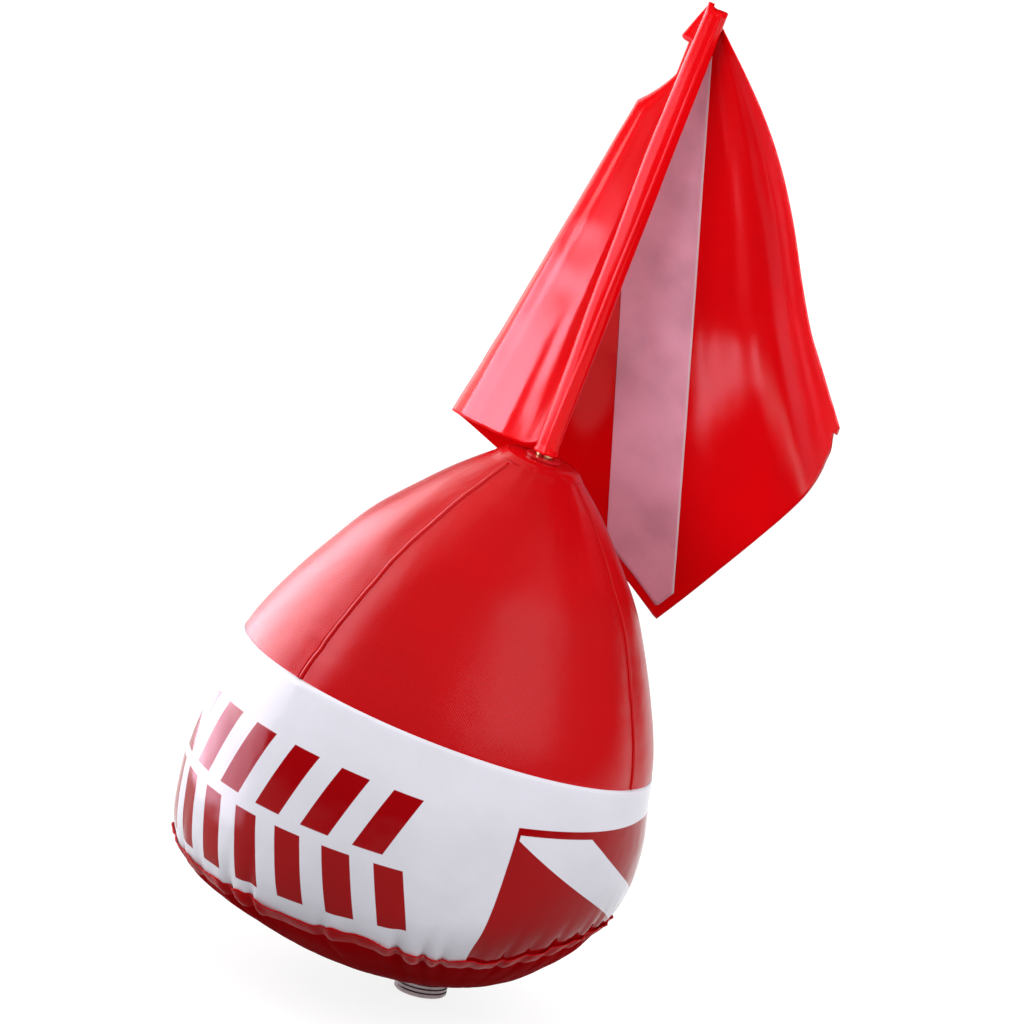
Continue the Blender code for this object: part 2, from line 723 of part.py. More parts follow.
def make_sleeve(flag_frame):
    """A tube of cloth round the mast, closed at the top, with the tab at its back that the sheet is sewn to."""
    half_tab = SHEET / 2
    root = math.acos(half_tab / SLEEVE_HALF_WIDTH)
    turns = spread(root, root - math.tau + 2 * (math.pi / 2 - root), SLEEVE_SIDES)
    outline = [(half_tab, SLEEVE_HALF_DEPTH + SLEEVE_TAB)]
    outline += [(SLEEVE_HALF_WIDTH * math.cos(turn), SLEEVE_HALF_DEPTH * math.sin(turn)) for turn in turns]
    outline += [(-half_tab, SLEEVE_HALF_DEPTH + SLEEVE_TAB)]
    between = (math.pi / 2 - root) / 2
    turns = [root + between] + turns + [turns[-1] - between]
    width, depth = SLEEVE_HALF_WIDTH - SLEEVE_WALL, SLEEVE_HALF_DEPTH - SLEEVE_WALL
    bore = [(width * math.cos(turn), depth * math.sin(turn)) for turn in turns]
    count = len(outline)
    points = []
    for loop, height in ((outline, FLAG_BASE), (outline, SLEEVE_TOP), (bore, FLAG_BASE), (bore, SLEEVE_TOP - SLEEVE_WALL)):
        points += [Vector((x, y, height)) for x, y in loop]
    faces = [tuple(range(count, 2 * count)), tuple(range(3 * count, 4 * count))]
    for index in range(count):
        after = (index + 1) % count
        faces.append((index, after, count + after, count + index))
        faces.append((2 * count + index, 2 * count + after, 3 * count + after, 3 * count + index))
        faces.append((index, after, 2 * count + after, 2 * count + index))
    add_mesh("flag_sleeve", points, faces, "flag_red", flag_frame)


# Weight at the foot

def make_ballast():
    groove = FOOT_GROOVE
    hole = STUD_RADIUS + GAP
    profile = [(0, 0), (FOOT_RADIUS - FOOT_CHAMFER, 0), (FOOT_RADIUS, FOOT_CHAMFER)]
    for share in GROOVE_SHARES:
        height = FOOT_HEIGHT * share
        profile += [(FOOT_RADIUS, height - groove), (FOOT_RADIUS - groove, height), (FOOT_RADIUS, height + groove)]
    profile += [(FOOT_RADIUS, FOOT_HEIGHT - FOOT_CHAMFER), (FOOT_RADIUS - FOOT_CHAMFER, FOOT_HEIGHT)]
    profile += [(hole, FOOT_HEIGHT), (hole, STUD_SEAT), (0, STUD_SEAT)]
    foot = add_empty("foot_frame", Matrix.Identity(4))
    turned("ballast_foot", profile, "steel", foot, BODY_SIDES)
    level = FOOT_HEIGHT + GAP
    ring_plate("foot_gasket", GASKET_RADIUS, hole, level, GASKET, "rubber_black", foot)
    level = DOME_FLOOR + SKIN + GAP
    ring_plate("inner_gasket", GASKET_RADIUS, hole, level, GASKET, "rubber_black", foot)
    level += GASKET + GAP
    turned("ballast_weight", [
        (hole, level), (WEIGHT_RADIUS - WEIGHT_CHAMFER, level), (WEIGHT_RADIUS, level + WEIGHT_CHAMFER),
        (WEIGHT_RADIUS, level + WEIGHT_HEIGHT), (hole, level + WEIGHT_HEIGHT)], "cast_weight", foot, BODY_SIDES)
    level += WEIGHT_HEIGHT + GAP
    ring_plate("ballast_washer", WASHER_RADIUS, hole, level, WASHER, "steel", foot)
    level += WASHER + GAP
    make_nut(hole, level, foot)
    top = level + NUT_HEIGHT + STUD_PROUD
    base = STUD_SEAT + GAP
    turned("ballast_stud", [(0, base), (STUD_RADIUS, base), (STUD_RADIUS, top), (0, top)], "steel", foot, SMALL_SIDES)


def ring_plate(name, radius, hole, base, thickness, finish, parent):
    turned(name, [(hole, base), (radius, base), (radius, base + thickness), (hole, base + thickness)], finish, parent)


def make_nut(hole, base, parent):
    def loop(radius_of, height):
        made = []
        for side in range(SMALL_SIDES):
            angle = math.tau * side / SMALL_SIDES
            radius = radius_of(angle)
            made.append(Vector((radius * math.cos(angle), radius * math.sin(angle), height)))
        return made

    def flats(angle):
        sixth = math.pi / 3
        return NUT_APOTHEM / math.cos((angle + sixth / 2) % sixth - sixth / 2)

    def bore(angle):
        return hole

    top = base + NUT_HEIGHT
    loops = [loop(bore, base), loop(flats, base), loop(flats, top), loop(bore, top)]
    ring_solid("ballast_nut", loops, "steel", parent)


# Inflation valve, in a frame on the skin with Y up the slope and Z outwards

def make_valve():
    frame = skin_frame(VALVE_HEIGHT, VALVE_ANGLE)
    valve = add_empty("valve_frame", frame)
    clear = VALVE_RADIUS + GAP
    radii = spread(clear, VALVE_PATCH_RADIUS, 5)

    def patch(offset):
        rows = []
        for radius in radii:
            row = []
            for side in range(ROUND_SIDES):
                angle = math.tau * side / ROUND_SIDES
                across, up_slope = radius * math.cos(angle), radius * math.sin(angle)
                row.append(under(frame, across, up_slope, offset, VALVE_HEIGHT, VALVE_ANGLE))
            rows.append(row)
        return rows

    grid_solid("valve_flange", patch(GAP + VALVE_PATCH), patch(GAP), "moulded_red", wraps=True)
    cutter = turned("valve_hole", [
        (0, -VALVE_DROP - CUT_OVERRUN), (clear, -VALVE_DROP - CUT_OVERRUN), (clear, CUT_OVERRUN), (0, CUT_OVERRUN)],
        "moulded_black", valve)
    combine(bpy.data.objects["cone_gore_2"], cutter, "DIFFERENCE")
    make_valve_body(valve)
    make_plunger(frame)
    make_cap(frame, valve)


def shoulder_top():
    return 2 * GAP + VALVE_PATCH + SHOULDER


def make_valve_body(valve):
    bore = VALVE_RADIUS - VALVE_WALL
    shoulder = shoulder_top()
    turned("valve_body", [
        (VALVE_RADIUS, -VALVE_DROP), (VALVE_RADIUS, shoulder - SHOULDER), (SHOULDER_RADIUS, shoulder - SHOULDER),
        (SHOULDER_RADIUS, shoulder), (VALVE_RADIUS, shoulder), (VALVE_RADIUS, VALVE_RISE), (bore, VALVE_RISE),
        (bore, WEB_BASE + WEB), (WEB_HOLE, WEB_BASE + WEB), (WEB_HOLE, WEB_BASE), (bore, WEB_BASE), (bore, -VALVE_DROP)],
        "moulded_black", valve)


def make_plunger(frame):
    """The push-to-open plunger, its seal under the web and the spring that lifts it."""
    plunger = add_empty("plunger_frame", frame)
    seal_top = WEB_BASE - GAP
    disc_top = seal_top - SEAL - GAP
    button_top = VALVE_RISE - BUTTON_SUNK
    button_base = button_top - BUTTON
    turned("valve_plunger", [
        (0, disc_top - DISC), (SEAL_RADIUS, disc_top - DISC), (SEAL_RADIUS, disc_top), (STEM_RADIUS, disc_top),
        (STEM_RADIUS, button_base), (BUTTON_RADIUS, button_base), (BUTTON_RADIUS, button_top), (0, button_top)],
        "moulded_black", plunger, SMALL_SIDES)
    ring_plate("valve_seal", SEAL_RADIUS, STEM_RADIUS + GAP, seal_top - SEAL, SEAL, "rubber_black", plunger)
    low = WEB_BASE + WEB + GAP + SPRING_WIRE
    high = button_base - GAP - SPRING_WIRE
    steps = SPRING_TURNS * POINTS_PER_TURN
    coil = []
    for step in range(steps + 1):
        angle = math.tau * step / POINTS_PER_TURN
        height = low + (high - low) * step / steps
        coil.append(Vector((SPRING_RADIUS * math.cos(angle), SPRING_RADIUS * math.sin(angle), height)))
    wire("valve_spring", coil, SPRING_WIRE, "steel", plunger, resolution=1)


def make_cap(frame, valve):
    """The dust cap, hinged on a pin at its upper edge, and the strap ring that carries the pin."""
    hinge_height = VALVE_RISE - CAP_SKIRT
    pin = Vector((0, CAP_PIN_OUT, hinge_height))
    hinge = add_empty("cap_hinge_frame", frame @ Matrix.Translation(pin))
    inner = VALVE_RADIUS + CAP_SLACK
    outer = inner + CAP_WALL
    floor = GAP + CAP_SKIRT
    cap = turned("valve_cap_shell", [
        (inner, 0), (outer, 0), (outer, floor + CAP_WALL / 2), (outer - CAP_WALL / 2, floor + CAP_WALL),
        (0, floor + CAP_WALL), (0, floor), (inner, floor)], "moulded_black", valve)
    shift = Matrix.Translation(Vector((0, -CAP_PIN_OUT, 0)))
    cap.data.transform(shift)
    cap.parent = hinge
    cap.name = "valve_cap"
    half = CAP_LUG_WIDTH / 2
    barrel = bar_across("cap_barrel", CAP_BARREL_RADIUS, half, Vector(), "moulded_black", hinge)
    lug = box("cap_lug", (-half, outer - CAP_PIN_OUT - CAP_WALL / 2, 0), (half, 0, CAP_BARREL_RADIUS),
              "moulded_black", hinge)
    bore = bar_across("cap_bore", CAP_PIN_RADIUS + GAP, half + CUT_OVERRUN, Vector(), "moulded_black", hinge)
    combine(cap, lug, "UNION")
    combine(cap, barrel, "UNION")
    combine(cap, bore, "DIFFERENCE")
    base = shoulder_top() + GAP
    clear = VALVE_RADIUS + GAP
    strap = turned("valve_cap_strap", [
        (clear, base), (clear + STRAP_WALL, base), (clear + STRAP_WALL, base + STRAP_RING), (clear, base + STRAP_RING)],
        "moulded_black", valve)
    near = half + GAP
    far = near + EAR_THICKNESS
    root = clear + STRAP_WALL / 2
    for side, name in ((-1, "left_ear"), (1, "right_ear")):
        low, high = sorted((side * near, side * far))
        arm = box(name + "_arm", (low, root, base), (high, CAP_PIN_OUT + CAP_BARREL_RADIUS, base + STRAP_RING),
                  "moulded_black", valve)
        post = box(name + "_post", (low, CAP_PIN_OUT - CAP_BARREL_RADIUS, base + STRAP_RING / 2),
                   (high, CAP_PIN_OUT + CAP_BARREL_RADIUS, hinge_height + CAP_BARREL_RADIUS), "moulded_black", valve)
        combine(strap, arm, "UNION")
        combine(strap, post, "UNION")
    pin_bar = bar_across("strap_pin", CAP_PIN_RADIUS, near + EAR_THICKNESS / 2, pin, "moulded_black", valve)
    combine(strap, pin_bar, "UNION")


# Towing point

def make_towing_point():
    frame = skin_frame(TOW_PATCH_BOTTOM, TOW_ANGLE)
    half = TOW_PATCH_WIDTH / 2

    def patch(offset):
        rows = []
        for up_slope in spread(0, TOW_PATCH_HEIGHT, 6):
            rows.append([under(frame, across, up_slope, offset, TOW_PATCH_BOTTOM, TOW_ANGLE)
                         for across in spread(-half, half, 7)])
        return rows

    grid_solid("tow_patch", patch(GAP + TOW_PATCH), patch(GAP), "red_coated_cloth")
    bar = tow_bar_centre()
    hinge = add_empty("tow_ring_frame", Matrix.Translation(bar))
    make_tab(bar)
    make_ring(hinge)


def tow_bar_centre():
    seam = body_surface(0, TOW_ANGLE)
    return Vector((seam.x, seam.y + TOW_BAR_OUT, seam.z + TOW_BAR_HEIGHT))


def make_tab(bar):
    """Webbing that lies down the patch, loops under the ring's bar and comes back on itself."""
    off_skin = 2 * GAP + TOW_PATCH + TAB / 2
    top = TOW_PATCH_BOTTOM + TOW_PATCH_HEIGHT - TAB_TOP_INSET
    path = []
    for height in spread(top, TOW_PATCH_BOTTOM + TAB_TOP_INSET / 2, 6):
        point = body_point(height, TOW_ANGLE, off_skin)
        path.append(Vector((point.y, point.z)))
    loop = RING_WIRE + GAP + TAB / 2
    for turn in spread(math.pi, math.tau + math.pi / 2, LOOP_POINTS):
        path.append(Vector((bar.y + loop * math.cos(turn), bar.z + loop * math.sin(turn))))
    left, right = [], []
    for index, point in enumerate(path):
        ahead = path[min(index + 1, len(path) - 1)] - path[max(index - 1, 0)]
        across = Vector((-ahead.y, ahead.x)).normalized() * TAB / 2
        left.append(point + across)
        right.append(point - across)
    half = TAB_WIDTH / 2

    def side(edge):
        return [[Vector((bar.x + x, place.x, place.y)) for x in (-half, half)] for place in edge]

    grid_solid("tow_tab", side(left), side(right), "webbing")


def make_ring(hinge):
    """A D-shaped ring that hangs from its straight bar."""
    half = RING_WIDTH / 2
    corner = RING_WIRE * 2
    path = [Vector((-half + corner, 0, 0)), Vector((0, 0, 0)), Vector((half - corner, 0, 0))]
    path += [Vector((half - corner * (1 - math.cos(turn)), 0, -corner * (1 - math.sin(turn))))
             for turn in spread(math.pi / 3, 0, 3)]
    for turn in spread(0, math.pi, 13):
        path.append(Vector((half * math.cos(turn), 0, -corner * 2 - (RING_DEPTH - corner * 2) * math.sin(turn))))
    path += [Vector((-half + corner * (1 - math.cos(turn)), 0, -corner * (1 - math.sin(turn))))
             for turn in spread(0, math.pi / 3, 3)]
    wire("tow_ring", path, RING_WIRE, "steel", hinge, closed=True)


def main():
    clear_scene()
    make_print_band()
    make_gores()
    make_tapes()
    make_bottom_panel()
    make_weld_rim()
    matrix = Matrix((RIGHTWARD, BEHIND, AXIS)).transposed().to_4x4()
    matrix.translation = MAST_LINE + AXIS * BODY_HEIGHT
    mast_frame = add_empty("mast_frame", matrix)
    flag_frame = add_empty("flag_frame", matrix)
    make_collar_and_socket(mast_frame)
    make_mast(mast_frame)
    make_flag_panel(flag_frame)
    make_flag_stripes(flag_frame)
    make_sleeve(flag_frame)
    make_ballast()
    make_valve()
    make_towing_point()


main()
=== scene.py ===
"""Dive flag float: the detailed skin, welds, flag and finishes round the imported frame, and the studio.

Metres, +Z up. The float stands on its steel foot at the origin and leans to the right and back.
"""

import json
import math
from bisect import bisect_left

import bmesh
import bpy
from bpy.props import FloatProperty, FloatVectorProperty
from mathutils import Matrix, Quaternion, Vector, noise

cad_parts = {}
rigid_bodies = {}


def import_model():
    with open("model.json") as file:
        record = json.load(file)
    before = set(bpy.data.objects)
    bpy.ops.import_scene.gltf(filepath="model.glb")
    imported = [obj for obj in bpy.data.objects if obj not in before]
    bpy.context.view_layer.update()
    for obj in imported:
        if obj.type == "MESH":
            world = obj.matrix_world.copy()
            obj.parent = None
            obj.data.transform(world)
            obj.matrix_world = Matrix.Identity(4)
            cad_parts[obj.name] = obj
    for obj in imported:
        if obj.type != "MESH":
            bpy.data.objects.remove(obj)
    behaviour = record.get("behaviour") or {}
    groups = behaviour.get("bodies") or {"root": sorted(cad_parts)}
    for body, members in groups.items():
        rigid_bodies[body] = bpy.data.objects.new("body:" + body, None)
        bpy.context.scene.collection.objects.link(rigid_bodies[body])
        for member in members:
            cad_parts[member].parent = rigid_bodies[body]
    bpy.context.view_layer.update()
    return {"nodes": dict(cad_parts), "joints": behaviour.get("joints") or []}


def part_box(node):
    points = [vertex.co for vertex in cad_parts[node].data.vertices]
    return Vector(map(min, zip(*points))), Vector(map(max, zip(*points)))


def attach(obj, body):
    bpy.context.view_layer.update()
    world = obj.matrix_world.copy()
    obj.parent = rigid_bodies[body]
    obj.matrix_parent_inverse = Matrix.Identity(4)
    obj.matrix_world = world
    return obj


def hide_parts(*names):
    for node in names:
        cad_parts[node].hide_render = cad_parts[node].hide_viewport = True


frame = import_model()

bl_info = {
    "name": "Dive flag float",
    "version": (1, 0, 0),
    "blender": (4, 5, 0),
    "location": "3D View > Sidebar > Float",
    "description": "Builds the skin, welds, flag and finishes of an inflated dive flag float, and its studio",
    "category": "Object",
}

# Places that come from the frame

JOINTS = {joint["name"]: joint for joint in frame["joints"]}
UP = Vector((0, 0, 1))
MAST_AXIS = Vector(JOINTS["flag_swivel"]["axis"]).normalized()
COLLAR_TOP = Vector(JOINTS["flag_swivel"]["pos_m"])
BEHIND = (Vector((0, 1, 0)) - MAST_AXIS * MAST_AXIS.y).normalized()
RIGHTWARD = BEHIND.cross(MAST_AXIS)
TOW_BAR = Vector(JOINTS["tow_ring_swing"]["pos_m"])
VALVE_AXIS = Vector(JOINTS["valve_push"]["axis"]).normalized()

# Fixed measures, in metres

# Air between a piece and what it lies on
AIR_GAP = 0.0003
# How far below the collar's top the cone's even levels and the seam beads end, and the levels between
CONE_END, BEAD_END = 0.0048, 0.0052
CLOSE_LEVELS = (0.0040, 0.0033, 0.0026, 0.0019, 0.0012, 0.0005)
# The cone's cloth dives under the band from this far below the band's edge, over this run
DIVE_START, DIVE_RUN = 0.0012, 0.0016
# The cone's cloth rises this much over the collar's rim, from this far below the collar's top, over this run
LAP_RISE, LAP_START, LAP_RUN = 0.0012, 0.0058, 0.0014
# How far from a seam its creases fade, and how deep and how far from the band its edge draws the cone in
CREASE_FADE, EDGE_PULL, EDGE_REACH = 0.016, 0.0004, 0.010
# How far a seam bead wanders from its line, and how deep its feet stand in the skin
BEAD_WANDER, BEAD_SINK = 0.0006, 0.0001
# Thickness of the weld, the beads, the sleeve's folded corner and the towing patch
WELD_CLOTH, BEAD_CLOTH, TUCK_CLOTH, PATCH_CLOTH = 0.0009, 0.0003, 0.0012, 0.0011
# How far the band and the bottom panel run on under the weld, and the radius of the hole for the stud
WELD_COVER, STUD_HOLE = 0.001, 0.0043
# Air between the flag and its diagonal, and between the skin and the band
LAYER_GAP = 0.0002
# The towing point's place round the body, straight behind
TOW_SIDE = math.pi / 2
# The towing patch: its lower edge over the bottom seam, its height, how far it stands off, and its rim's drop
PATCH_BOTTOM, PATCH_HEIGHT, PATCH_RISE, PATCH_RIM = 0.0085, 0.034, 0.0015, 0.0008
# The webbing's thickness, width and height over the skin, and the radius of the tow ring's bar
WEBBING, WEBBING_WIDTH, WEBBING_RISE, TOW_BAR_RADIUS = 0.0013, 0.018, 0.0026, 0.0018
# The folded corner of the sleeve: its length, its reach at its top, how much that grows, and its inner edge
TUCK_DROP, TUCK_TOP, TUCK_GROWTH, TUCK_INNER = 0.0290, 0.0060, 0.0090, 0.0030
# The notch in the flag's fly edge: its depth, and where over the corner it starts and ends, each with its run
NOTCH_DEPTH, NOTCH_START, NOTCH_END = 0.0042, (0.012, 0.009), (0.022, 0.024)
# Half the width of the soft edge of the print
PRINT_SOFTNESS = 0.00025
FLOOR_REACH, CARD_REACH = 30.0, 4.0

# Columns of points once round the body
ROUND_COLUMNS, WELD_COLUMNS = 433, 649
# The image's side and the collar's place in it, in pixels
IMAGE, COLLAR_SEEN = 1024, (543, 459)

# Tables: shares of the body's height and belly radius, and places round the body in degrees

PROFILE_SHARES = (
    (0.0, 0.931), (0.062, 0.980), (0.134, 1.0), (0.207, 1.0), (0.284, 0.990), (0.362, 0.961), (0.439, 0.924),
    (0.516, 0.866), (0.594, 0.793), (0.672, 0.711), (0.752, 0.617), (0.828, 0.496), (0.911, 0.350),
    (0.972, 0.2225), (1.0, 0.148))
GORE_SEAMS = (-135.0, -22.5, 105.0)
BAND_SEAM = 105.0
WELD_LEVEL_SHARES = (
    (-180, 0.0), (-140, 0.0), (-112, -0.35), (-92, -0.40), (-80, -0.85), (-68, -1.0), (-55, -0.9),
    (-42, -0.3), (-22, 0.45), (0, 0.60), (30, 0.40), (60, 0.0), (120, 0.1), (180, 0.0))
# Gathers along the bottom weld: place in degrees, depth as a share of the deepest, width in degrees
GATHERS = (
    (-171, 0.30, 3.2), (-160, 0.40, 3.0), (-149, 0.22, 2.6), (-135, 0.80, 2.6), (-127, 0.85, 2.2),
    (-117, 0.15, 3.4), (-105, 0.50, 2.4), (-96, 0.18, 2.8), (-84, 1.00, 2.8), (-76.5, 0.75, 2.0),
    (-71, 0.35, 1.8), (-62, 0.30, 2.6), (-53, 0.42, 1.8), (-46, 0.28, 2.0), (-38, 0.40, 2.4),
    (-30, 0.20, 2.0), (-24, 0.38, 2.2), (-11, 0.45, 3.0), (4, 0.30, 2.4), (13, 0.62, 2.2), (29, 0.40, 3.0),
    (38, 0.22, 2.2), (52, 0.70, 2.6), (66, 0.30, 2.6), (79, 0.25, 2.2), (98, 0.45, 2.8), (112, 0.75, 2.4),
    (123, 0.30, 2.8), (139, 0.55, 2.4), (148, 0.20, 2.6), (163, 0.60, 2.8), (177, 0.35, 2.4))
# Directions in which the flag leaves the top of the mast, in degrees to its right and behind it
FOLDS = (
    (0.0, 0.0), (-4.7, 0.9), (-9.0, 2.7), (-11.6, 5.2), (-11.0, 7.9), (-5.9, 10.3), (1.4, 12.5), (8.1, 13.2),
    (15.8, 11.0), (22.7, 5.0), (28.6, -1.6), (31.9, -7.2), (34.2, -15.0), (35.6, -23.8), (36.4, -32.6))
# How slack the sleeve's left side is, by share of its height
SLEEVE_SLACK = ((0.0, 1.0), (0.15, 1.10), (0.40, 1.32), (0.65, 1.42), (0.80, 1.28), (1.0, 1.0))
# Dents that the folded flag keeps: across and down from its top corner, radius, and share of the deepest
DENTS = (
    (0.138, 0.188, 0.0080, -1.0), (0.128, 0.200, 0.012, 0.70), (0.152, 0.178, 0.012, 0.60),
    (0.134, 0.226, 0.016, -0.60), (0.152, 0.262, 0.016, 0.80), (0.166, 0.280, 0.014, -0.80))
# The weld's section: share of its width below or above the seam, and height over the skin
WELD_SECTION = (
    (-1.0, -0.0011), (-0.75, -0.0004), (-0.4, 0.0003), (0.0, 0.0009), (0.35, 0.0012), (0.6, 0.0012),
    (0.8, 0.0014), (1.0, 0.0017))
# The emblem, in degrees and metres up the band: its field, its upper red corner and the inside of its red rim
EMBLEM_FIELD = ((-64.5, -0.030), (-0.8, -0.030), (-0.8, 0.101), (-13.5, 0.100), (-63.5, 0.088))
EMBLEM_CORNER = ((-19.5, 0.056), (-0.5, 0.0265), (-0.5, 0.110), (-39.5, 0.0885))
EMBLEM_INSIDE = ((-62.5, -0.040), (2, -0.040), (2, 0.0975), (-39.5, 0.0885), (-62.5, 0.0842))
# Finishes of the frame's own rigid nodes
WEAR = {
    "red_coated_cloth": ("top_collar",),
    "moulded_red": ("mast_socket", "valve_flange"),
    "moulded_black": ("mast_tip_cap", "valve_body", "valve_plunger", "valve_cap", "valve_cap_strap"),
    "ferrule_brass": ("mast_ferrule",),
    "turned_steel": ("ballast_foot", "ballast_washer", "ballast_nut", "ballast_stud"),
    "drawn_steel": ("tow_ring", "valve_spring"),
    "glass_fibre_rod": ("mast",),
    "rubber": ("foot_gasket", "inner_gasket", "valve_seal"),
    "cast_weight": ("ballast_weight",),
}


def seen_from(left, distance, height):
    """A place so many degrees to the left of the camera's side."""
    turned = math.radians(-90 - left)
    return Vector((distance * math.cos(turned), distance * math.sin(turned), height))


# What some lamps face, where they stand, and which pieces they light, by the starts of the pieces' names
BODY_MIDDLE, FLAG_MIDDLE = Vector((0.0, 0.0, 0.33)), Vector((0.05, 0.0, 0.50))
BESIDE_BAND, HIGH_RIGHT = seen_from(113.5, 0.62, 0.33), seen_from(-45, 1.7, 1.45)
FOLD, BESIDE_FOLD, SLEEVE_HIGHER = Vector((0.02, 0.05, 0.40)), Vector((-0.50, -0.25, 0.375)), UP * 0.125
LIT = {
    "flag_cloth": ("flag_sheet", "flag_diagonal", "mast_sleeve", "sleeve_top"),
    "sheet_cloth": ("flag_sheet", "flag_diagonal"),
    "sleeve_cloth": ("mast_sleeve", "sleeve_top"),
    "cone_cloth": ("cone_panel", "cone_seam", "mast_sleeve"),
    "band_cloth": ("printed_band", "band_seam"),
}
# Lamps: the name, which its brightness has too, place, target, width, height, roll in degrees, what it lights
LAMPS = (
    ("left_softbox", seen_from(120, 1.6, 0.80), BODY_MIDDLE, 1.70, 1.5, 0, None),
    ("right_softbox", HIGH_RIGHT, BODY_MIDDLE, 1.7, 1.5, 0, None),
    ("flag_softbox", seen_from(40, 1.6, 0.55), FLAG_MIDDLE, 1.2, 0.8, 0, "flag_cloth"),
    ("cone_sheen", BESIDE_BAND, BODY_MIDDLE, 0.80, 0.66, 0, "cone_cloth"),
    ("band_sheen", BESIDE_BAND, BODY_MIDDLE, 0.80, 0.66, 0, "band_cloth"),
    ("right_sheen", HIGH_RIGHT, BODY_MIDDLE, 1.7, 1.5, 0, "cone_cloth"),
    ("flag_sheen", BESIDE_FOLD, FOLD, 0.84, 0.25, -6, "sheet_cloth"),
    ("sleeve_sheen", BESIDE_FOLD + SLEEVE_HIGHER, FOLD + SLEEVE_HIGHER, 0.84, 0.25, 0, "sleeve_cloth"),
    ("strip_sheen", Vector((-0.38, 0.035, 0.2)), Vector((0.14, 0.035, 0.2)), 0.07, 0.34, -32, "sheet_cloth"),
)


def size(name, description, default):
    return FloatProperty(name=name, description=description, default=default, unit="LENGTH", precision=4)


def turn(name, description, degrees):
    return FloatProperty(name=name, description=description, default=math.radians(degrees), subtype="ANGLE")


def share(name, description, default):
    return FloatProperty(name=name, description=description, default=default, min=0, max=1, subtype="FACTOR")


def colour(name, description, default):
    return FloatVectorProperty(
        name=name, description=description, default=default, min=0, max=1, subtype="COLOR")


def brightness(name, description, default):
    return FloatProperty(name=name, description=description, default=default, min=0)


class FloatBodySizes(bpy.types.PropertyGroup):
    """The inflated body, with levels measured up the mast's line from the bottom seam."""

    height: size("Height", "Bottom seam to collar top, along the mast", 0.290)
    belly: size("Belly radius", "Radius at the widest ring", 0.1483)
    band_height: size("Band height", "Height of the printed band", 0.121)
    band_lap: size("Band lap", "How far the red cloth runs down under the band", 0.006)
    dome_depth: size("Dome depth", "Bottom seam to the flat that the foot is fixed to", 0.061)
    dome_lift: size("Dome lift", "How much the gathers lift the dome between the foot and the seam", 0.0052)
    dome_flat: size("Dome flat", "Radius of the flat round the foot", 0.020)
    base_shift: size("Base shift", "How far the bottom seam stands right of the mast's line", 0.0045)
    lean_share: share("Lean share", "Share of the height in which the rings turn square to the mast", 0.38)
    corner: size("Corner", "How far from the bottom seam the skin rounds off", 0.009)
    cloth: size("Cloth", "Thickness of the coated cloth", 0.0008)
    valve_opening: size("Valve opening", "Radius of the cloth left out round the valve's body", 0.0090)
    seam_pull: size("Seam pull", "How deep the skin is drawn in at a seam", 0.0016)
    seam_pull_width: size("Seam pull width", "How far from a seam the skin is drawn in", 0.017)
    pucker: size("Pucker", "Depth of the small creases beside a seam", 0.0011)
    unevenness: size("Unevenness", "Gentle waves all over the skin", 0.00035)
    bead_width: size("Bead width", "Width of the raised seam bead", 0.0032)
    bead_rise: size("Bead rise", "Height of the raised seam bead", 0.0011)
    gather_depth: size("Gather depth", "Depth of the deepest gather along the bottom weld", 0.0044)
    gather_reach: size("Gather reach", "How far up and down from the weld a gather fades", 0.012)
    weld_dip: size("Weld dip", "How far the weld dips under the front of the band", 0.0110)
    weld_rise: size("Weld rise", "Width of the weld's loose upper edge", 0.0052)
    weld_drop: size("Weld drop", "Width of the weld below the seam", 0.0085)
    weld_flare: size("Weld flare", "How far the weld's upper edge stands off the band", 0.0020)


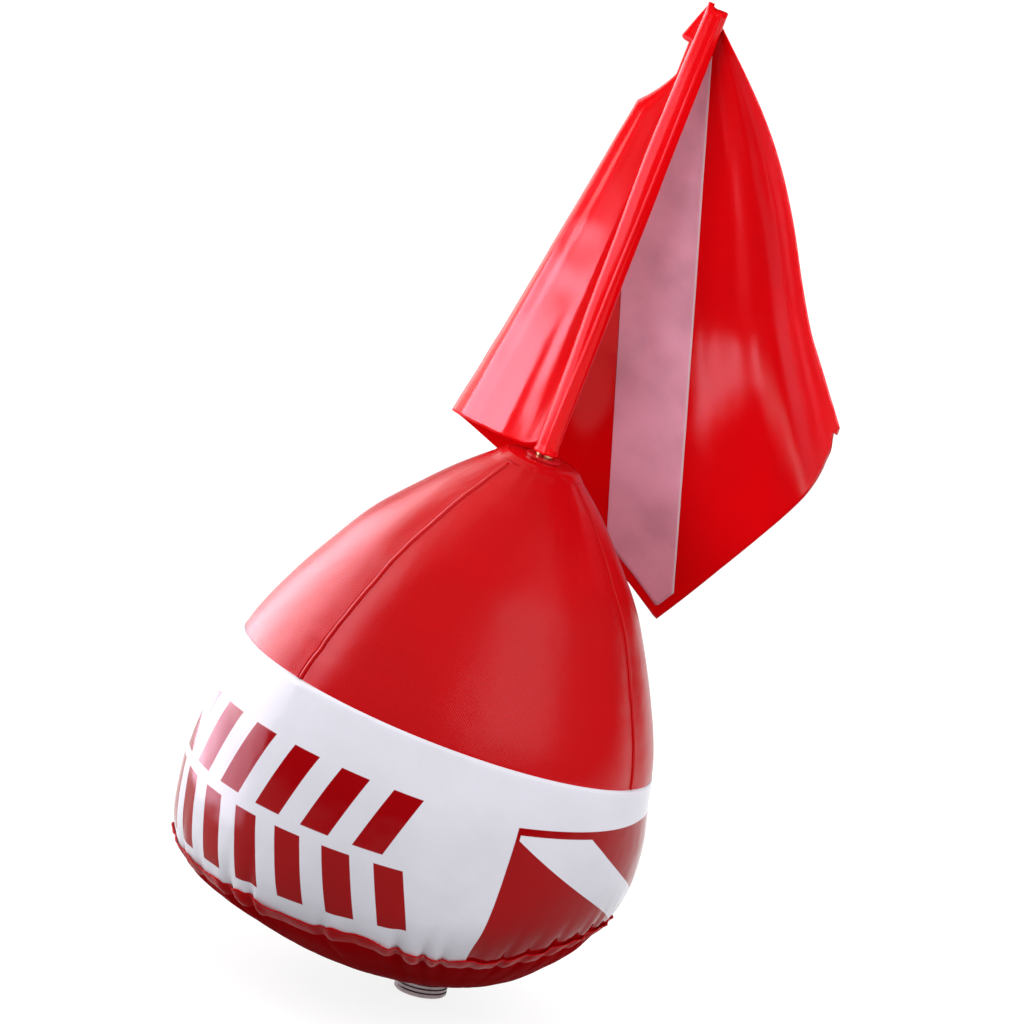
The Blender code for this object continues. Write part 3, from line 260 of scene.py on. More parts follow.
class FloatFlagSizes(bpy.types.PropertyGroup):
    """The flag, its diagonal and the sleeve that it hangs by."""

    hoist: size("Hoist", "Side of the flag along the mast, beside the sleeve", 0.300)
    hem_drop: size("Hem drop", "How much lower the free sheet hangs than at the sleeve", 0.0050)
    fly: size("Fly", "Side of the flag away from the mast", 0.287)
    base: size("Base", "Height of the flag's lower end above the collar", 0.0069)
    sheet: size("Sheet", "Thickness of the flag", 0.0007)
    corner: size("Corner", "Distance from the top corner at which the free sheet starts", 0.005)
    stripe_width: size("Stripe width", "Width of the white diagonal", 0.050)
    stripe_start: size("Stripe start", "Distance of the diagonal from the sleeve", 0.020)
    stripe_border: size("Stripe border", "Red left between the diagonal's end and the flag's edge", 0.0065)
    stripe_sheet: size("Stripe sheet", "Thickness of the white layer", 0.0004)
    sleeve_width: size("Sleeve half width", "Half the sleeve's width, seen from the front", 0.0064)
    sleeve_depth: size("Sleeve half depth", "Half the sleeve's depth", 0.0056)
    sleeve_tab: size("Sleeve tab", "Strip between the sleeve and the sheet", 0.0020)
    sleeve_skirt: size("Sleeve skirt", "How far the sleeve hangs down over the ferrule", 0.0029)
    sleeve_ridge: size("Sleeve ridge", "Height of the welded ridge down the sleeve", 0.0009)
    ridge_foot: size("Ridge foot", "How far left of the mast's line the ridge ends", 0.0009)
    ridge_top: size("Ridge top", "How far right of the mast's line the ridge starts", 0.0029)
    sleeve_peak: size("Sleeve peak", "How far the sleeve stands above the flag", 0.0045)
    sleeve_tip: size("Sleeve tip", "How much higher the sleeve's left corner stands", 0.0030)
    flap_width: size("Flap width", "Reach of the left fold beside the mast, near the top", 0.009)
    flap_length: size("Flap length", "Length of the narrow part of the left fold", 0.047)
    shoulder_end: size("Shoulder end", "Where the left fold reaches its full slope", 0.078)
    fold_width: size("Fold width", "Reach of the left fold's line at the top corner", 0.0135)
    fold_spread: share("Fold spread", "How much wider the left fold gets as it goes down", 0.159)
    bow_start: size("Bow start", "Distance from the top corner at which the fly side bows out most", 0.040)
    bow_end: size("Bow end", "Distance from the top corner at which the bow has gone", 0.230)
    bow: turn("Bow", "How far the fly side bows out near the top", 9.5)
    streak: size("Streak", "Depth of the soft creases that run down from the top corner", 0.0010)
    dimple: size("Dimple", "Depth of the dent in the diagonal", 0.0015)


class FloatFinishes(bpy.types.PropertyGroup):
    """Colours and textures."""

    skin_red: colour("Skin red", "Coated cloth of the cone and the towing patch", (0.56, 0.0015, 0.004))
    # The bottom panel is the same red cloth as the cone: this darker red is painted shade under the body, not
    # a duller cloth.
    bottom_red_in_shade: colour("Bottom red", "Duller cloth of the bottom panel", (0.42, 0.0015, 0.004))
    skin_white: colour("Skin white", "Coated cloth of the band", (0.80, 0.79, 0.87))
    print_red: colour("Print red", "Ink on the band", (0.36, 0.001, 0.003))
    flag_red: colour("Flag red", "The flag's sheet and sleeve", (0.80, 0.0012, 0.004))
    # Pink: the white cloth with painted red bounce light from the flag.
    flag_white: colour("Flag white", "The flag's diagonal", (0.92, 0.46, 0.61))
    moulded_red: colour("Moulded red", "Collar, socket and valve plate", (0.46, 0.002, 0.006))
    moulded_black: colour("Moulded black", "Valve and mast cap", (0.022, 0.022, 0.024))
    brass: colour("Brass", "Ferrule at the foot of the mast", (0.83, 0.66, 0.38))
    # Steel grey with a reddish cast: the cast is a painted reflection of the red body.
    steel: colour("Steel", "Foot, stud and tow ring", (0.36, 0.29, 0.30))
    webbing: colour("Webbing", "Tow tab", (0.030, 0.030, 0.034))
    weave: size("Weave", "Spacing of the cloth's threads", 0.0021)


class FloatStage(bpy.types.PropertyGroup):
    """Camera and lamps."""

    distance: size("Camera distance", "Camera to the foot of the mast", 22.0)
    view_width: size("View width", "Width seen at the foot of the mast", 0.6513)
    elevation: turn("Elevation", "Camera above the horizon", 17)
    roll: turn("Roll", "Camera's turn about its own axis", 12)
    left_softbox: brightness("Left softbox", "Softbox on the left", 3.5)
    right_softbox: brightness("Right softbox", "Softbox on the right", 1.7)
    flag_softbox: brightness("Flag softbox", "Softbox on the flag, outside its gloss", 3.4)
    cone_sheen: brightness("Cone sheen", "Softbox in the gloss of the cone's left side", 3.5)
    band_sheen: brightness("Band sheen", "Softbox in the gloss of the band's left side", 9.0)
    right_sheen: brightness("Right sheen", "Softbox in the gloss of the cone's right side", 1.3)
    flag_sheen: brightness("Flag sheen", "Softbox in the gloss of the flag's left fold", 26.0)
    sleeve_sheen: brightness("Sleeve sheen", "Softbox in the gloss of the sleeve", 5.0)
    strip_sheen: brightness("Strip sheen", "Strip light in the gloss of the flag's fly", 3.5)
    ambient: brightness("Ambient", "The room", 1.0)


# Shader arithmetic

def math_node(operation, swapped=False):
    """A method that puts a Math node on a signal and another term, if there is one."""
    def method(self, *other):
        terms = (*other, self) if swapped else (self, *other)
        return self.finish.node("ShaderNodeMath", {"operation": operation}, dict(enumerate(terms)))
    return method


class Signal:
    """One output of a material's nodes. Arithmetic on it adds Math nodes."""

    def __init__(self, finish, socket):
        self.finish = finish
        self.socket = socket

    __add__ = __radd__ = math_node("ADD")
    __sub__ = math_node("SUBTRACT")
    __rsub__ = math_node("SUBTRACT", swapped=True)
    __mul__ = __rmul__ = math_node("MULTIPLY")
    __mod__ = math_node("FLOORED_MODULO")
    __abs__ = math_node("ABSOLUTE")
    sine = math_node("SINE")
    most = math_node("MAXIMUM")

    def rising(self, low, high):
        """0 below low, 1 above high and smooth between."""
        limits = {"Value": self, "From Min": low, "From Max": high}
        return self.finish.node("ShaderNodeMapRange", {"interpolation_type": "SMOOTHSTEP"}, limits)


class Finish:
    """A material: fixed values go straight to the shader, and what varies comes from expressions."""

    def __init__(self, name, fixed):
        self.material = bpy.data.materials.new(name)
        self.material.use_nodes = True
        self.tree = self.material.node_tree
        self.shader = self.tree.nodes["Principled BSDF"]
        for socket, value in fixed.items():
            self.show(socket, value)

    def feed(self, socket, value):
        if isinstance(value, Signal):
            self.tree.links.new(value.socket, socket)
        elif socket.type == "RGBA":
            socket.default_value = (*value, 1)
        else:
            socket.default_value = value

    def show(self, socket, value):
        self.feed(self.shader.inputs[socket], value)

    def node(self, kind, settings, values, output=0):
        """A node of a kind: its settings first, then the values or links of its sockets."""
        made = self.tree.nodes.new(kind)
        for name, value in settings.items():
            setattr(made, name, value)
        for socket, value in values.items():
            self.feed(made.inputs[socket], value)
        return Signal(self, made.outputs[output])

    def cloth_place(self):
        """Where a point is in the flat cloth: across it and up it, in metres."""
        place = self.node("ShaderNodeUVMap", {"uv_map": "cloth"}, {})
        return [self.node("ShaderNodeSeparateXYZ", {}, {0: place}, output) for output in (0, 1)]

    def object_place(self):
        return self.node("ShaderNodeTexCoord", {}, {}, 3)

    def joined(self, x, y, z=0.0):
        return self.node("ShaderNodeCombineXYZ", {}, {0: x, 1: y, 2: z})

    def cloud(self, place, scale, detail=2.0):
        return self.node("ShaderNodeTexNoise", {}, {"Vector": place, "Scale": scale, "Detail": detail})

    def mix(self, factor, first, second):
        return self.node("ShaderNodeMix", {"data_type": "RGBA"}, {0: factor, 6: first, 7: second}, 2)

    def darker(self, factor, tint, amount):
        """The tint, and where the factor is 1, only an amount of it."""
        mixed = {"data_type": "RGBA", "blend_type": "MULTIPLY"}
        return self.node("ShaderNodeMix", mixed, {0: factor, 6: tint, 7: (amount, amount, amount)}, 2)

    def emboss(self, height, depth):
        values = {"Strength": 1.0, "Distance": depth, "Height": height}
        self.show("Normal", self.node("ShaderNodeBump", {}, values))


def scaled_tint(tint, amount):
    return [channel * amount for channel in tint]


def inside(signal, low, high, soft):
    """1 between two limits, with soft edges."""
    return signal.rising(low - soft, low + soft) * (1 - signal.rising(high - soft, high + soft))


def left_of(x, y, start, end, soft):
    """1 on the left of the line from start to end."""
    along = (Vector(end) - Vector(start)).normalized()
    distance = (y - start[1]) * along.x - (x - start[0]) * along.y
    return distance.rising(-soft, soft)


def within(x, y, corners, soft):
    """1 inside a polygon whose corners go round to the left."""
    mask = 1.0
    for start, end in zip(corners, corners[1:] + corners[:1]):
        mask = left_of(x, y, start, end, soft) * mask
    return mask


def weave(across, along, spacing):
    """The height of a plain weave, from -1 to 1."""
    pace = math.tau / spacing
    return (across * pace).sine() * (along * pace).sine()


# Finishes

def settings():
    return bpy.context.scene.float_finish


def coated_cloth(name, tint, roughness, weave_depth, tint_at=None, gloss=0.5):
    """Glossy coated cloth: a fine weave under the coating, with faint clouds in its colour and its gloss."""
    finish = Finish(name, {"Specular IOR Level": gloss})
    across, along = finish.cloth_place()
    place = finish.joined(across, along)
    broad = finish.cloud(place, 9.0, 3.0)
    fine = finish.cloud(place, 420.0)
    base = tint_at(finish, across, along) if tint_at else tint
    finish.show("Base Color", finish.darker(broad.rising(0.40, 0.70) * 0.6 + fine * 0.3, base, 0.86))
    finish.show("Roughness", roughness + (broad - 0.5) * 0.10 + (fine - 0.5) * 0.04)
    finish.emboss(weave(across, along, settings().weave) + fine * 0.7, weave_depth)


def band_print(finish, across, along):
    """White cloth and its print, on each half: two rows of slanted bars and a plain diver-down emblem."""
    choices = settings()
    arc = math.radians(1) * bpy.context.scene.float_body.belly
    half, soft = 180 * arc, PRINT_SOFTNESS
    place = (across + half) % half - half

    def bars(slant, low, high, first, last, count):
        """A row of bars that lean by a slant, between two heights and two places in degrees."""
        shifted = place - (along - (low + high) / 2) * slant
        pitch = (last - first) * arc / (count - 0.45)
        stripe = inside((shifted - first * arc) % pitch, 0.0, pitch * 0.55, soft)
        ends = inside(shifted, first * arc - soft, last * arc, soft)
        return stripe * ends * inside(along, low, high, soft)

    def shape(corners):
        return within(place, along, [(degrees * arc, height) for degrees, height in corners], soft)

    rows = bars(0.42, 0.052, 0.087, -172, -92, 6).most(bars(-0.42, 0.0115, 0.0465, -176, -86, 7))
    field, corner, rim = shape(EMBLEM_FIELD), shape(EMBLEM_CORNER), 1 - shape(EMBLEM_INSIDE)
    below = 1 - left_of(place, along, (-62.5 * arc, 0.0800), (-1.2 * arc, -0.0028), soft)
    return finish.mix(rows.most(field * below.most(corner).most(rim)), choices.skin_white, choices.print_red)


def flag_stripe_tint(finish, across, along):
    """White cloth tinted pink, which paints in the red light that the flag throws on it; pinker in clouds and
    lighter at its welded edge.
    """
    tint = settings().flag_white
    edge = abs(across + along) * math.sqrt(0.5)
    clouds = finish.cloud(finish.joined(across, along), 26.0, 3.0).rising(0.35, 0.70)
    return finish.mix(1 - edge.rising(0.0008, 0.0020), finish.darker(clouds, tint, 0.84), (0.86, 0.66, 0.72))


def moulded(name, tint, roughness):
    """Moulded plastic: a faint grain, with a little wear in its gloss."""
    finish = Finish(name, {"Specular IOR Level": 0.5})
    place = finish.object_place()
    grain = finish.cloud(place, 900.0)
    worn = finish.cloud(place, 60.0, 3.0)
    finish.show("Base Color", finish.mix(worn.rising(0.40, 0.75) * 0.5, tint, scaled_tint(tint, 0.75)))
    finish.show("Roughness", roughness + (worn - 0.5) * 0.18)
    finish.emboss(grain, 0.000012)


def metal(name, tint, roughness, line_scale):
    """Metal with fine turned lines round its height and a few clouded patches."""
    finish = Finish(name, {"Metallic": 1.0})
    place = finish.object_place()
    height = finish.node("ShaderNodeSeparateXYZ", {}, {0: place}, 2)
    lines = finish.cloud(finish.joined(0.0, 0.0, height), line_scale, 3.0)
    patches = finish.cloud(place, 120.0, 3.0)
    stained = patches.rising(0.45, 0.75) * 0.45 + lines * 0.25
    finish.show("Base Color", finish.mix(stained, tint, scaled_tint(tint, 0.55)))
    finish.show("Roughness", roughness + (lines - 0.5) * 0.25 + (patches - 0.5) * 0.10)
    finish.emboss(lines, 0.000003)


def rod_fibre():
    """Glass fibre rod: pale resin with long fibres down it."""
    finish = Finish("glass_fibre_rod", {"Roughness": 0.32})
    place = finish.object_place()
    stretched = finish.node("ShaderNodeMapping", {}, {"Vector": place, "Scale": (1.0, 1.0, 0.02)})
    fibres = finish.cloud(stretched, 2600.0)
    finish.show("Base Color", finish.mix(fibres, (0.78, 0.75, 0.64), (0.58, 0.54, 0.42)))
    finish.emboss(fibres, 0.00001)


def rubber_finish():
    finish = Finish("rubber", {"Specular IOR Level": 0.35})
    grain = finish.cloud(finish.object_place(), 1500.0)
    finish.show("Base Color", finish.mix(grain, (0.018, 0.018, 0.018), (0.040, 0.039, 0.038)))
    finish.show("Roughness", 0.66 + grain * 0.14)
    finish.emboss(grain, 0.00002)


def cast_finish():
    """Cast weight: a sandy skin with darker hollows."""
    finish = Finish("cast_weight", {"Metallic": 0.7})
    place = finish.object_place()
    sand = finish.cloud(place, 700.0, 4.0)
    finish.show("Base Color", finish.mix(sand.rising(0.35, 0.65), (0.10, 0.10, 0.11), (0.24, 0.24, 0.25)))
    finish.show("Roughness", 0.52 + sand * 0.20)
    finish.emboss(sand, 0.00012)


def webbing_finish():
    """Woven webbing: ribs across it, with a few lighter threads."""
    finish = Finish("webbing", {"Specular IOR Level": 0.3})
    across, along = finish.cloth_place()
    ribs = weave(across, along, 0.0024) + (along * (math.tau / 0.0012)).sine() * 0.5
    fuzz = finish.cloud(finish.joined(across, along), 2400.0)
    tint = settings().webbing
    finish.show("Base Color", finish.mix(fuzz.rising(0.45, 0.70), tint, scaled_tint(tint, 3)))
    finish.show("Roughness", 0.78 + fuzz * 0.12)
    finish.emboss(ribs + fuzz * 0.4, 0.00012)


# Meshes

def ease(value):
    value = min(max(value, 0), 1)
    return value * value * (3 - 2 * value)


def spread(low, high, count):
    return [low + (high - low) * index / (count - 1) for index in range(count)]


def curve_through(table, x):
    """The smooth curve through a table of (x, y) points, carried straight on past its ends."""
    xs = [pair[0] for pair in table]
    ys = [pair[1] for pair in table]
    last = len(xs) - 1

    def slope(index):
        low, high = max(index - 1, 0), min(index + 1, last)
        return (ys[high] - ys[low]) / (xs[high] - xs[low])

    if x <= xs[0]:
        return ys[0] + slope(0) * (x - xs[0])
    if x >= xs[last]:
        return ys[last] + slope(last) * (x - xs[last])
    index = max(i for i in range(last) if xs[i] <= x)
    width = xs[index + 1] - xs[index]
    t = (x - xs[index]) / width
    start = (1 + 2 * t) * (1 - t) ** 2 * ys[index] + t * (1 - t) ** 2 * width * slope(index)
    end = t * t * (3 - 2 * t) * ys[index + 1] + t * t * (t - 1) * width * slope(index + 1)
    return start + end


def rows_of(point, levels, places):
    """Rows of cloth: what the function point gives for each level and for each place along it."""
    return [[point(level, place) for place in places] for level in levels]


def around(angle):
    """The same angle between half a turn back and half a turn on."""
    return (angle + math.pi) % math.tau - math.pi


def add_object(name, data):
    made = bpy.data.objects.new(name, data)
    bpy.context.scene.collection.objects.link(made)
    return made


def add_cloth(name, rows, finish, wraps=False, thickness=0.0, inward=-1.0):
    """A sheet through rows of (point, place in the flat cloth). If it wraps, its last column is its first."""
    columns = len(rows[0]) - (1 if wraps else 0)
    shape = bmesh.new()
    layer = shape.loops.layers.uv.new("cloth")
    points = [[shape.verts.new(point) for point, _ in row[:columns]] for row in rows]
    for index in range(len(rows) - 1):
        for column in range(len(rows[0]) - 1):
            corners = ((index, column), (index, column + 1), (index + 1, column + 1), (index + 1, column))
            face = shape.faces.new([points[row][place % columns] for row, place in corners])
            face.smooth = True
            for loop, (row, place) in zip(face.loops, corners):
                loop[layer].uv = rows[row][place][1]
    mesh = bpy.data.meshes.new(name)
    shape.to_mesh(mesh)
    shape.free()
    mesh.materials.append(bpy.data.materials[finish])
    made = add_object(name, mesh)
    if thickness:
        body = made.modifiers.new("thickness", "SOLIDIFY")
        body.thickness = thickness
        body.offset = inward
    return made


def stands_for(piece, node, body):
    """Let a piece take a node's place in the frame and ride on a body."""
    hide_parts(node)
    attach(piece, body)
    return piece


class Hull:
    """The inflated skin: rings up the mast's line, and the bottom panel's dome below the seam."""

    def __init__(self):
        self.sizes = bpy.context.scene.float_body
        sizes = self.sizes
        self.height, self.belly = sizes.height, sizes.belly
        self.mast_foot = COLLAR_TOP - MAST_AXIS * self.height
        self.shift = Vector((sizes.base_shift, 0, 0))
        self.seam_centre = self.mast_foot + self.shift
        self.floor = self.seam_centre.z - sizes.dome_depth
        self.lean_to = sizes.lean_share * self.height
        self.lean = MAST_AXIS.angle(UP)
        self.lean_axis = UP.cross(MAST_AXIS).normalized()
        self.flat = sizes.dome_flat
        self.dome_run = self.belly * PROFILE_SHARES[0][1] - self.flat
        self.dome_bend = (self.dome_run**2 + sizes.dome_depth**2) / (2 * sizes.dome_depth)
        self.corner = sizes.corner
        self.gathers = [(math.radians(place), depth, math.radians(width)) for place, depth, width in GATHERS]
        self.gather_depth, self.gather_reach = sizes.gather_depth, sizes.gather_reach
        self.seams = [math.radians(place) for place in GORE_SEAMS]
        self.band_seam = math.radians(BAND_SEAM)
        self.pull, self.pull_width = sizes.seam_pull, sizes.seam_pull_width
        self.pucker, self.unevenness = sizes.pucker, sizes.unevenness
        self.band_height = sizes.band_height
        self.dip = sizes.weld_dip

    def radius(self, level):
        return self.belly * curve_through(PROFILE_SHARES, level / self.height)

    def ring(self, level, angle):
        turned = ease(level / self.lean_to)
        centre = self.mast_foot + self.shift * (1 - turned) + MAST_AXIS * level
        spoke = Vector((math.cos(angle), math.sin(angle), 0)) * self.radius(level)
        return centre + Matrix.Rotation(self.lean * turned, 3, self.lean_axis) @ spoke

    def dome(self, radius, angle):
        run = max(radius - self.flat, 0)
        rise = self.dome_bend - math.sqrt(self.dome_bend**2 - run**2)
        near = run / self.dome_run
        rise += self.sizes.dome_lift * ease(near / 0.24) * ease((1 - near) / 0.30)
        spoke = Vector((math.cos(angle), math.sin(angle), 0)) * radius
        return Vector((self.seam_centre.x * near, self.seam_centre.y * near, self.floor + rise)) + spoke

    def dome_radius(self, drop):
        rise = max(self.sizes.dome_depth - drop, 0)
        return self.flat + math.sqrt(self.dome_bend**2 - (self.dome_bend - rise) ** 2)

    def sharp(self, level, angle):
        """The skin with a plain corner at the bottom seam; levels below it go down the dome."""
        if level >= 0:
            return self.ring(level, angle)
        return self.dome(self.dome_radius(-level), angle)

    def plain(self, level, angle):
        corner = self.corner
        if abs(level) >= corner:
            return self.sharp(level, angle)
        low, middle, high = (self.sharp(place, angle) for place in (-corner, 0, corner))
        t = (level + corner) / (2 * corner)
        return low.lerp(middle, t).lerp(middle.lerp(high, t), t)

    def normal(self, level, angle):
        step = 0.0004
        along = self.plain(level + step, angle) - self.plain(level - step, angle)
        across = self.plain(level, angle + step * 4) - self.plain(level, angle - step * 4)
        return across.cross(along).normalized()

    def weld_level(self, angle):
        degrees = math.degrees(around(angle))
        wave = noise.noise(Vector((math.cos(angle) * 4, math.sin(angle) * 4, 3.1)))
        return self.dip * (curve_through(WELD_LEVEL_SHARES, degrees) + 0.12 * wave)

    def gather(self, level, angle):
        """The folds that the bottom weld draws into the skin."""
        away = level - self.weld_level(angle)
        fade = math.exp(-abs(away) / (self.gather_reach * (1 if away > 0 else 1.1)))
        if fade < 0.01:
            return 0
        total = 0.25 * noise.noise(Vector((math.cos(angle) * 11, math.sin(angle) * 11, 1.7)))
        for place, depth, width in self.gathers:
            turned = around(angle - place - away * 0.9 * (0.5 - depth))
            if abs(turned) < 4 * width:
                across = turned / width
                total -= depth * (math.exp(-3 * across**2) - 0.55 * math.exp(-2 * (across - 1.3) ** 2)
                                  - 0.35 * math.exp(-2 * (across + 1.3) ** 2))
        return total * fade * self.gather_depth

    def seam_draw(self, level, angle):
        """The valley and the small creases beside the gore seams."""
        if level < self.band_height:
            return 0
        total = 0
        radius = self.radius(level)
        for number, seam in enumerate(self.seams):
            away = around(angle - seam) * radius
            if abs(away) > 4 * self.pull_width:
                continue
            total -= self.pull * math.exp(-((away / self.pull_width) ** 2))
            creased = noise.noise(Vector((level * 95, away * 14, 5.0 + number)))
            patch = max(noise.noise(Vector((level * 22, number * 9.0, 2.0))) + 0.35, 0)
            total -= self.pucker * patch * max(creased, 0) * math.exp(-abs(away) / CREASE_FADE) * 2
        near_band = math.exp(-((level - self.band_height) / EDGE_REACH) ** 2)
        return total - EDGE_PULL * near_band

    def waves(self, level, angle):
        place = Vector((math.cos(angle), math.sin(angle), level * 7)) * 4.5
        return self.unevenness * (noise.noise(place) + 0.35 * noise.noise(place * 3.7))

    def point(self, level, angle, offset=0.0):
        relief = self.gather(level, angle) + self.seam_draw(level, angle) + self.waves(level, angle)
        return self.plain(level, angle) + self.normal(level, angle) * (offset + relief)

    def cloth_point(self, level, angle, offset=0.0):
        return (self.point(level, angle, offset), (angle * self.belly, level))


class FlagSheet:
    """The flag: straight rays from its top corner, turned by the fold curve; in the mast's frame."""

    def __init__(self):
        self.sizes = bpy.context.scene.float_flag
        sizes = self.sizes
        self.top = sizes.base + sizes.hoist
        self.line = sizes.sleeve_depth + sizes.sleeve_tab + AIR_GAP + sizes.sheet / 2
        self.corner_ray = math.atan2(sizes.fly, sizes.hoist)
        self.flap = (
            sizes.flap_width, sizes.flap_length, sizes.shoulder_end, sizes.fold_width, sizes.fold_spread)
        self.bow = (sizes.bow, sizes.bow_start, sizes.bow_end)
        self.depths = (sizes.streak, sizes.dimple)
        self.bends, self.used = self.measured()
        self.widest = max(-bend.x for bend in self.bends)
        self.frame = Matrix((RIGHTWARD, BEHIND, MAST_AXIS)).transposed().to_4x4()
        self.frame.translation = COLLAR_TOP

    def measured(self, steps=24):
        """The fold curve's points, with the angle of sheet that is used up to each."""
        knots = [Vector(knot) * math.radians(1) for knot in FOLDS]
        knots = [2 * knots[0] - knots[1]] + knots + [2 * knots[-1] - knots[-2]]
        bends = []
        for index in range(1, len(knots) - 2):
            a, b, c, d = knots[index - 1:index + 3]
            for step in range(steps):
                t = step / steps
                squared, cubed = 2 * a - 5 * b + 4 * c - d, 3 * b - a - 3 * c + d
                bends.append((2 * b + (c - a) * t + squared * t**2 + cubed * t**3) / 2)
        bends.append(knots[-2])
        used = [0.0]
        for before, after in zip(bends, bends[1:]):
            used.append(used[-1] + self.direction(before).angle(self.direction(after)))
        return bends, used

    @staticmethod
    def direction(bend):
        tilt = bend.length
        turned = math.atan2(bend.y, bend.x)
        return Vector((math.sin(tilt) * math.cos(turned), math.sin(tilt) * math.sin(turned), -math.cos(tilt)))

    def bend(self, ray):
        index = min(max(bisect_left(self.used, ray), 1), len(self.used) - 1)
        low, high = self.used[index - 1], self.used[index]
        return self.bends[index - 1].lerp(self.bends[index], (ray - low) / (high - low))

    def widening(self, reach):
        width, length, shoulder, fold, slope = self.flap
        plain = fold + slope * reach
        width += (plain - width) * min(max((reach - length) / (shoulder - length), 0), 1)
        return math.asin(min(width / reach, 0.9)) / self.widest

    def middle(self, reach, ray):
        fade = 1 - ease((math.degrees(ray) - 15) / 10)
        bend = self.bend(ray) * (1 + (self.widening(reach) - 1) * fade)
        bow, start, end = self.bow
        free = min(max((ray / (math.pi / 4)) - 1, 0), 1)
        bend.x += bow * (1 - ease((reach - start) / (end - start))) * free
        return Vector((0, self.line, self.top)) + self.direction(bend) * reach

    def relief(self, reach, ray):
        """Soft creases down from the top corner, and the dents that a folded sheet keeps."""
        streak, dimple = self.depths
        across, down = reach * math.sin(ray), reach * math.cos(ray)
        degrees = math.degrees(ray)
        strength = ease((reach - 0.03) / 0.10)
        left = 1 - ease((degrees - 10) / 8)
        total = streak * strength * noise.noise(Vector((degrees * 0.16, reach * 5, 0.3)))
        total += streak * 1.6 * left * strength * noise.noise(Vector((degrees * 0.42, reach * 6, 4.0)))
        total += streak * 0.30 * noise.noise(Vector((across * 42, down * 42, 8.0)))
        for x, y, width, depth in DENTS:
            total += dimple * depth * math.exp(-(((across - x) ** 2 + (down - y) ** 2) / width**2))
        return total

    def point(self, reach, ray, offset):
        step = 0.0003
        low, high = max(ray - 0.002, 0), min(ray + 0.002, math.pi / 2)
        along = self.middle(reach + step, ray) - self.middle(reach - step, ray)
        across = self.middle(reach, high) - self.middle(reach, low)
        lift = offset + self.relief(reach, ray)
        return self.frame @ (self.middle(reach, ray) + along.cross(across).normalized() * lift)

    def cloth_point(self, reach, ray, offset):
        return (self.point(reach, ray, offset), (reach * math.sin(ray), -reach * math.cos(ray)))

    def hem(self, ray):
        """The flag's height at a ray: the free sheet hangs a little lower than the sleeve's end."""
        return self.sizes.hoist + self.sizes.hem_drop * ease((math.degrees(ray) - 0.6) / 2.4)

    def edge(self, ray):
        """How far the sheet reaches along a ray, with the curled notch near its fly corner."""
        sizes = self.sizes
        reach = min(self.hem(ray) / max(math.cos(ray), 0.1), sizes.fly / max(math.sin(ray), 0.1))
        if ray > self.corner_ray:
            from_corner = sizes.fly / math.tan(ray)
            started, ended = (ease((from_corner - place) / run) for place, run in (NOTCH_START, NOTCH_END))
            reach -= NOTCH_DEPTH * started * (1 - ended)
        return reach


# Operators

class FloatStep:
    """What every step of the build has in common."""

    bl_options = {"REGISTER", "UNDO"}

    def execute(self, context):
        self.build(context)
        return {"FINISHED"}


class FLOAT_OT_finishes(FloatStep, bpy.types.Operator):
    """Make the materials and put them on the frame's rigid parts"""

    bl_idname = "float.finishes"
    bl_label = "Finishes"

    def build(self, context):
        choices = settings()
        coated_cloth("red_coated_cloth", choices.skin_red, 0.24, 0.000036, gloss=0.18)
        # The bottom panel's darker red is painted shade under the body.
        coated_cloth("bottom_red_cloth", choices.bottom_red_in_shade, 0.62, 0.000030, gloss=0.004)
        # The weld: the bottom's shade-darkened red made 12 % lighter, painted light on the rim where it
        # stands over the darker dome.
        coated_cloth("weld_red_cloth", scaled_tint(choices.bottom_red_in_shade, 1.12), 0.42, 0.000020, gloss=0.06)
        coated_cloth("printed_band_cloth", choices.skin_white, 0.12, 0.000010, band_print, 0.11)
        coated_cloth("flag_red_cloth", choices.flag_red, 0.15, 0.000012, gloss=0.18)
        coated_cloth("flag_white_cloth", choices.flag_white, 0.26, 0.000014, flag_stripe_tint, 0.18)
        moulded("moulded_red", choices.moulded_red, 0.34)
        moulded("moulded_black", choices.moulded_black, 0.42)
        metal("ferrule_brass", choices.brass, 0.26, 900.0)
        metal("turned_steel", choices.steel, 0.42, 1400.0)
        metal("drawn_steel", choices.steel, 0.18, 500.0)
        rod_fibre()
        rubber_finish()
        cast_finish()
        webbing_finish()
        for finish, nodes in WEAR.items():
            for node in nodes:
                for slot in frame["nodes"][node].material_slots:
                    slot.material = bpy.data.materials[finish]


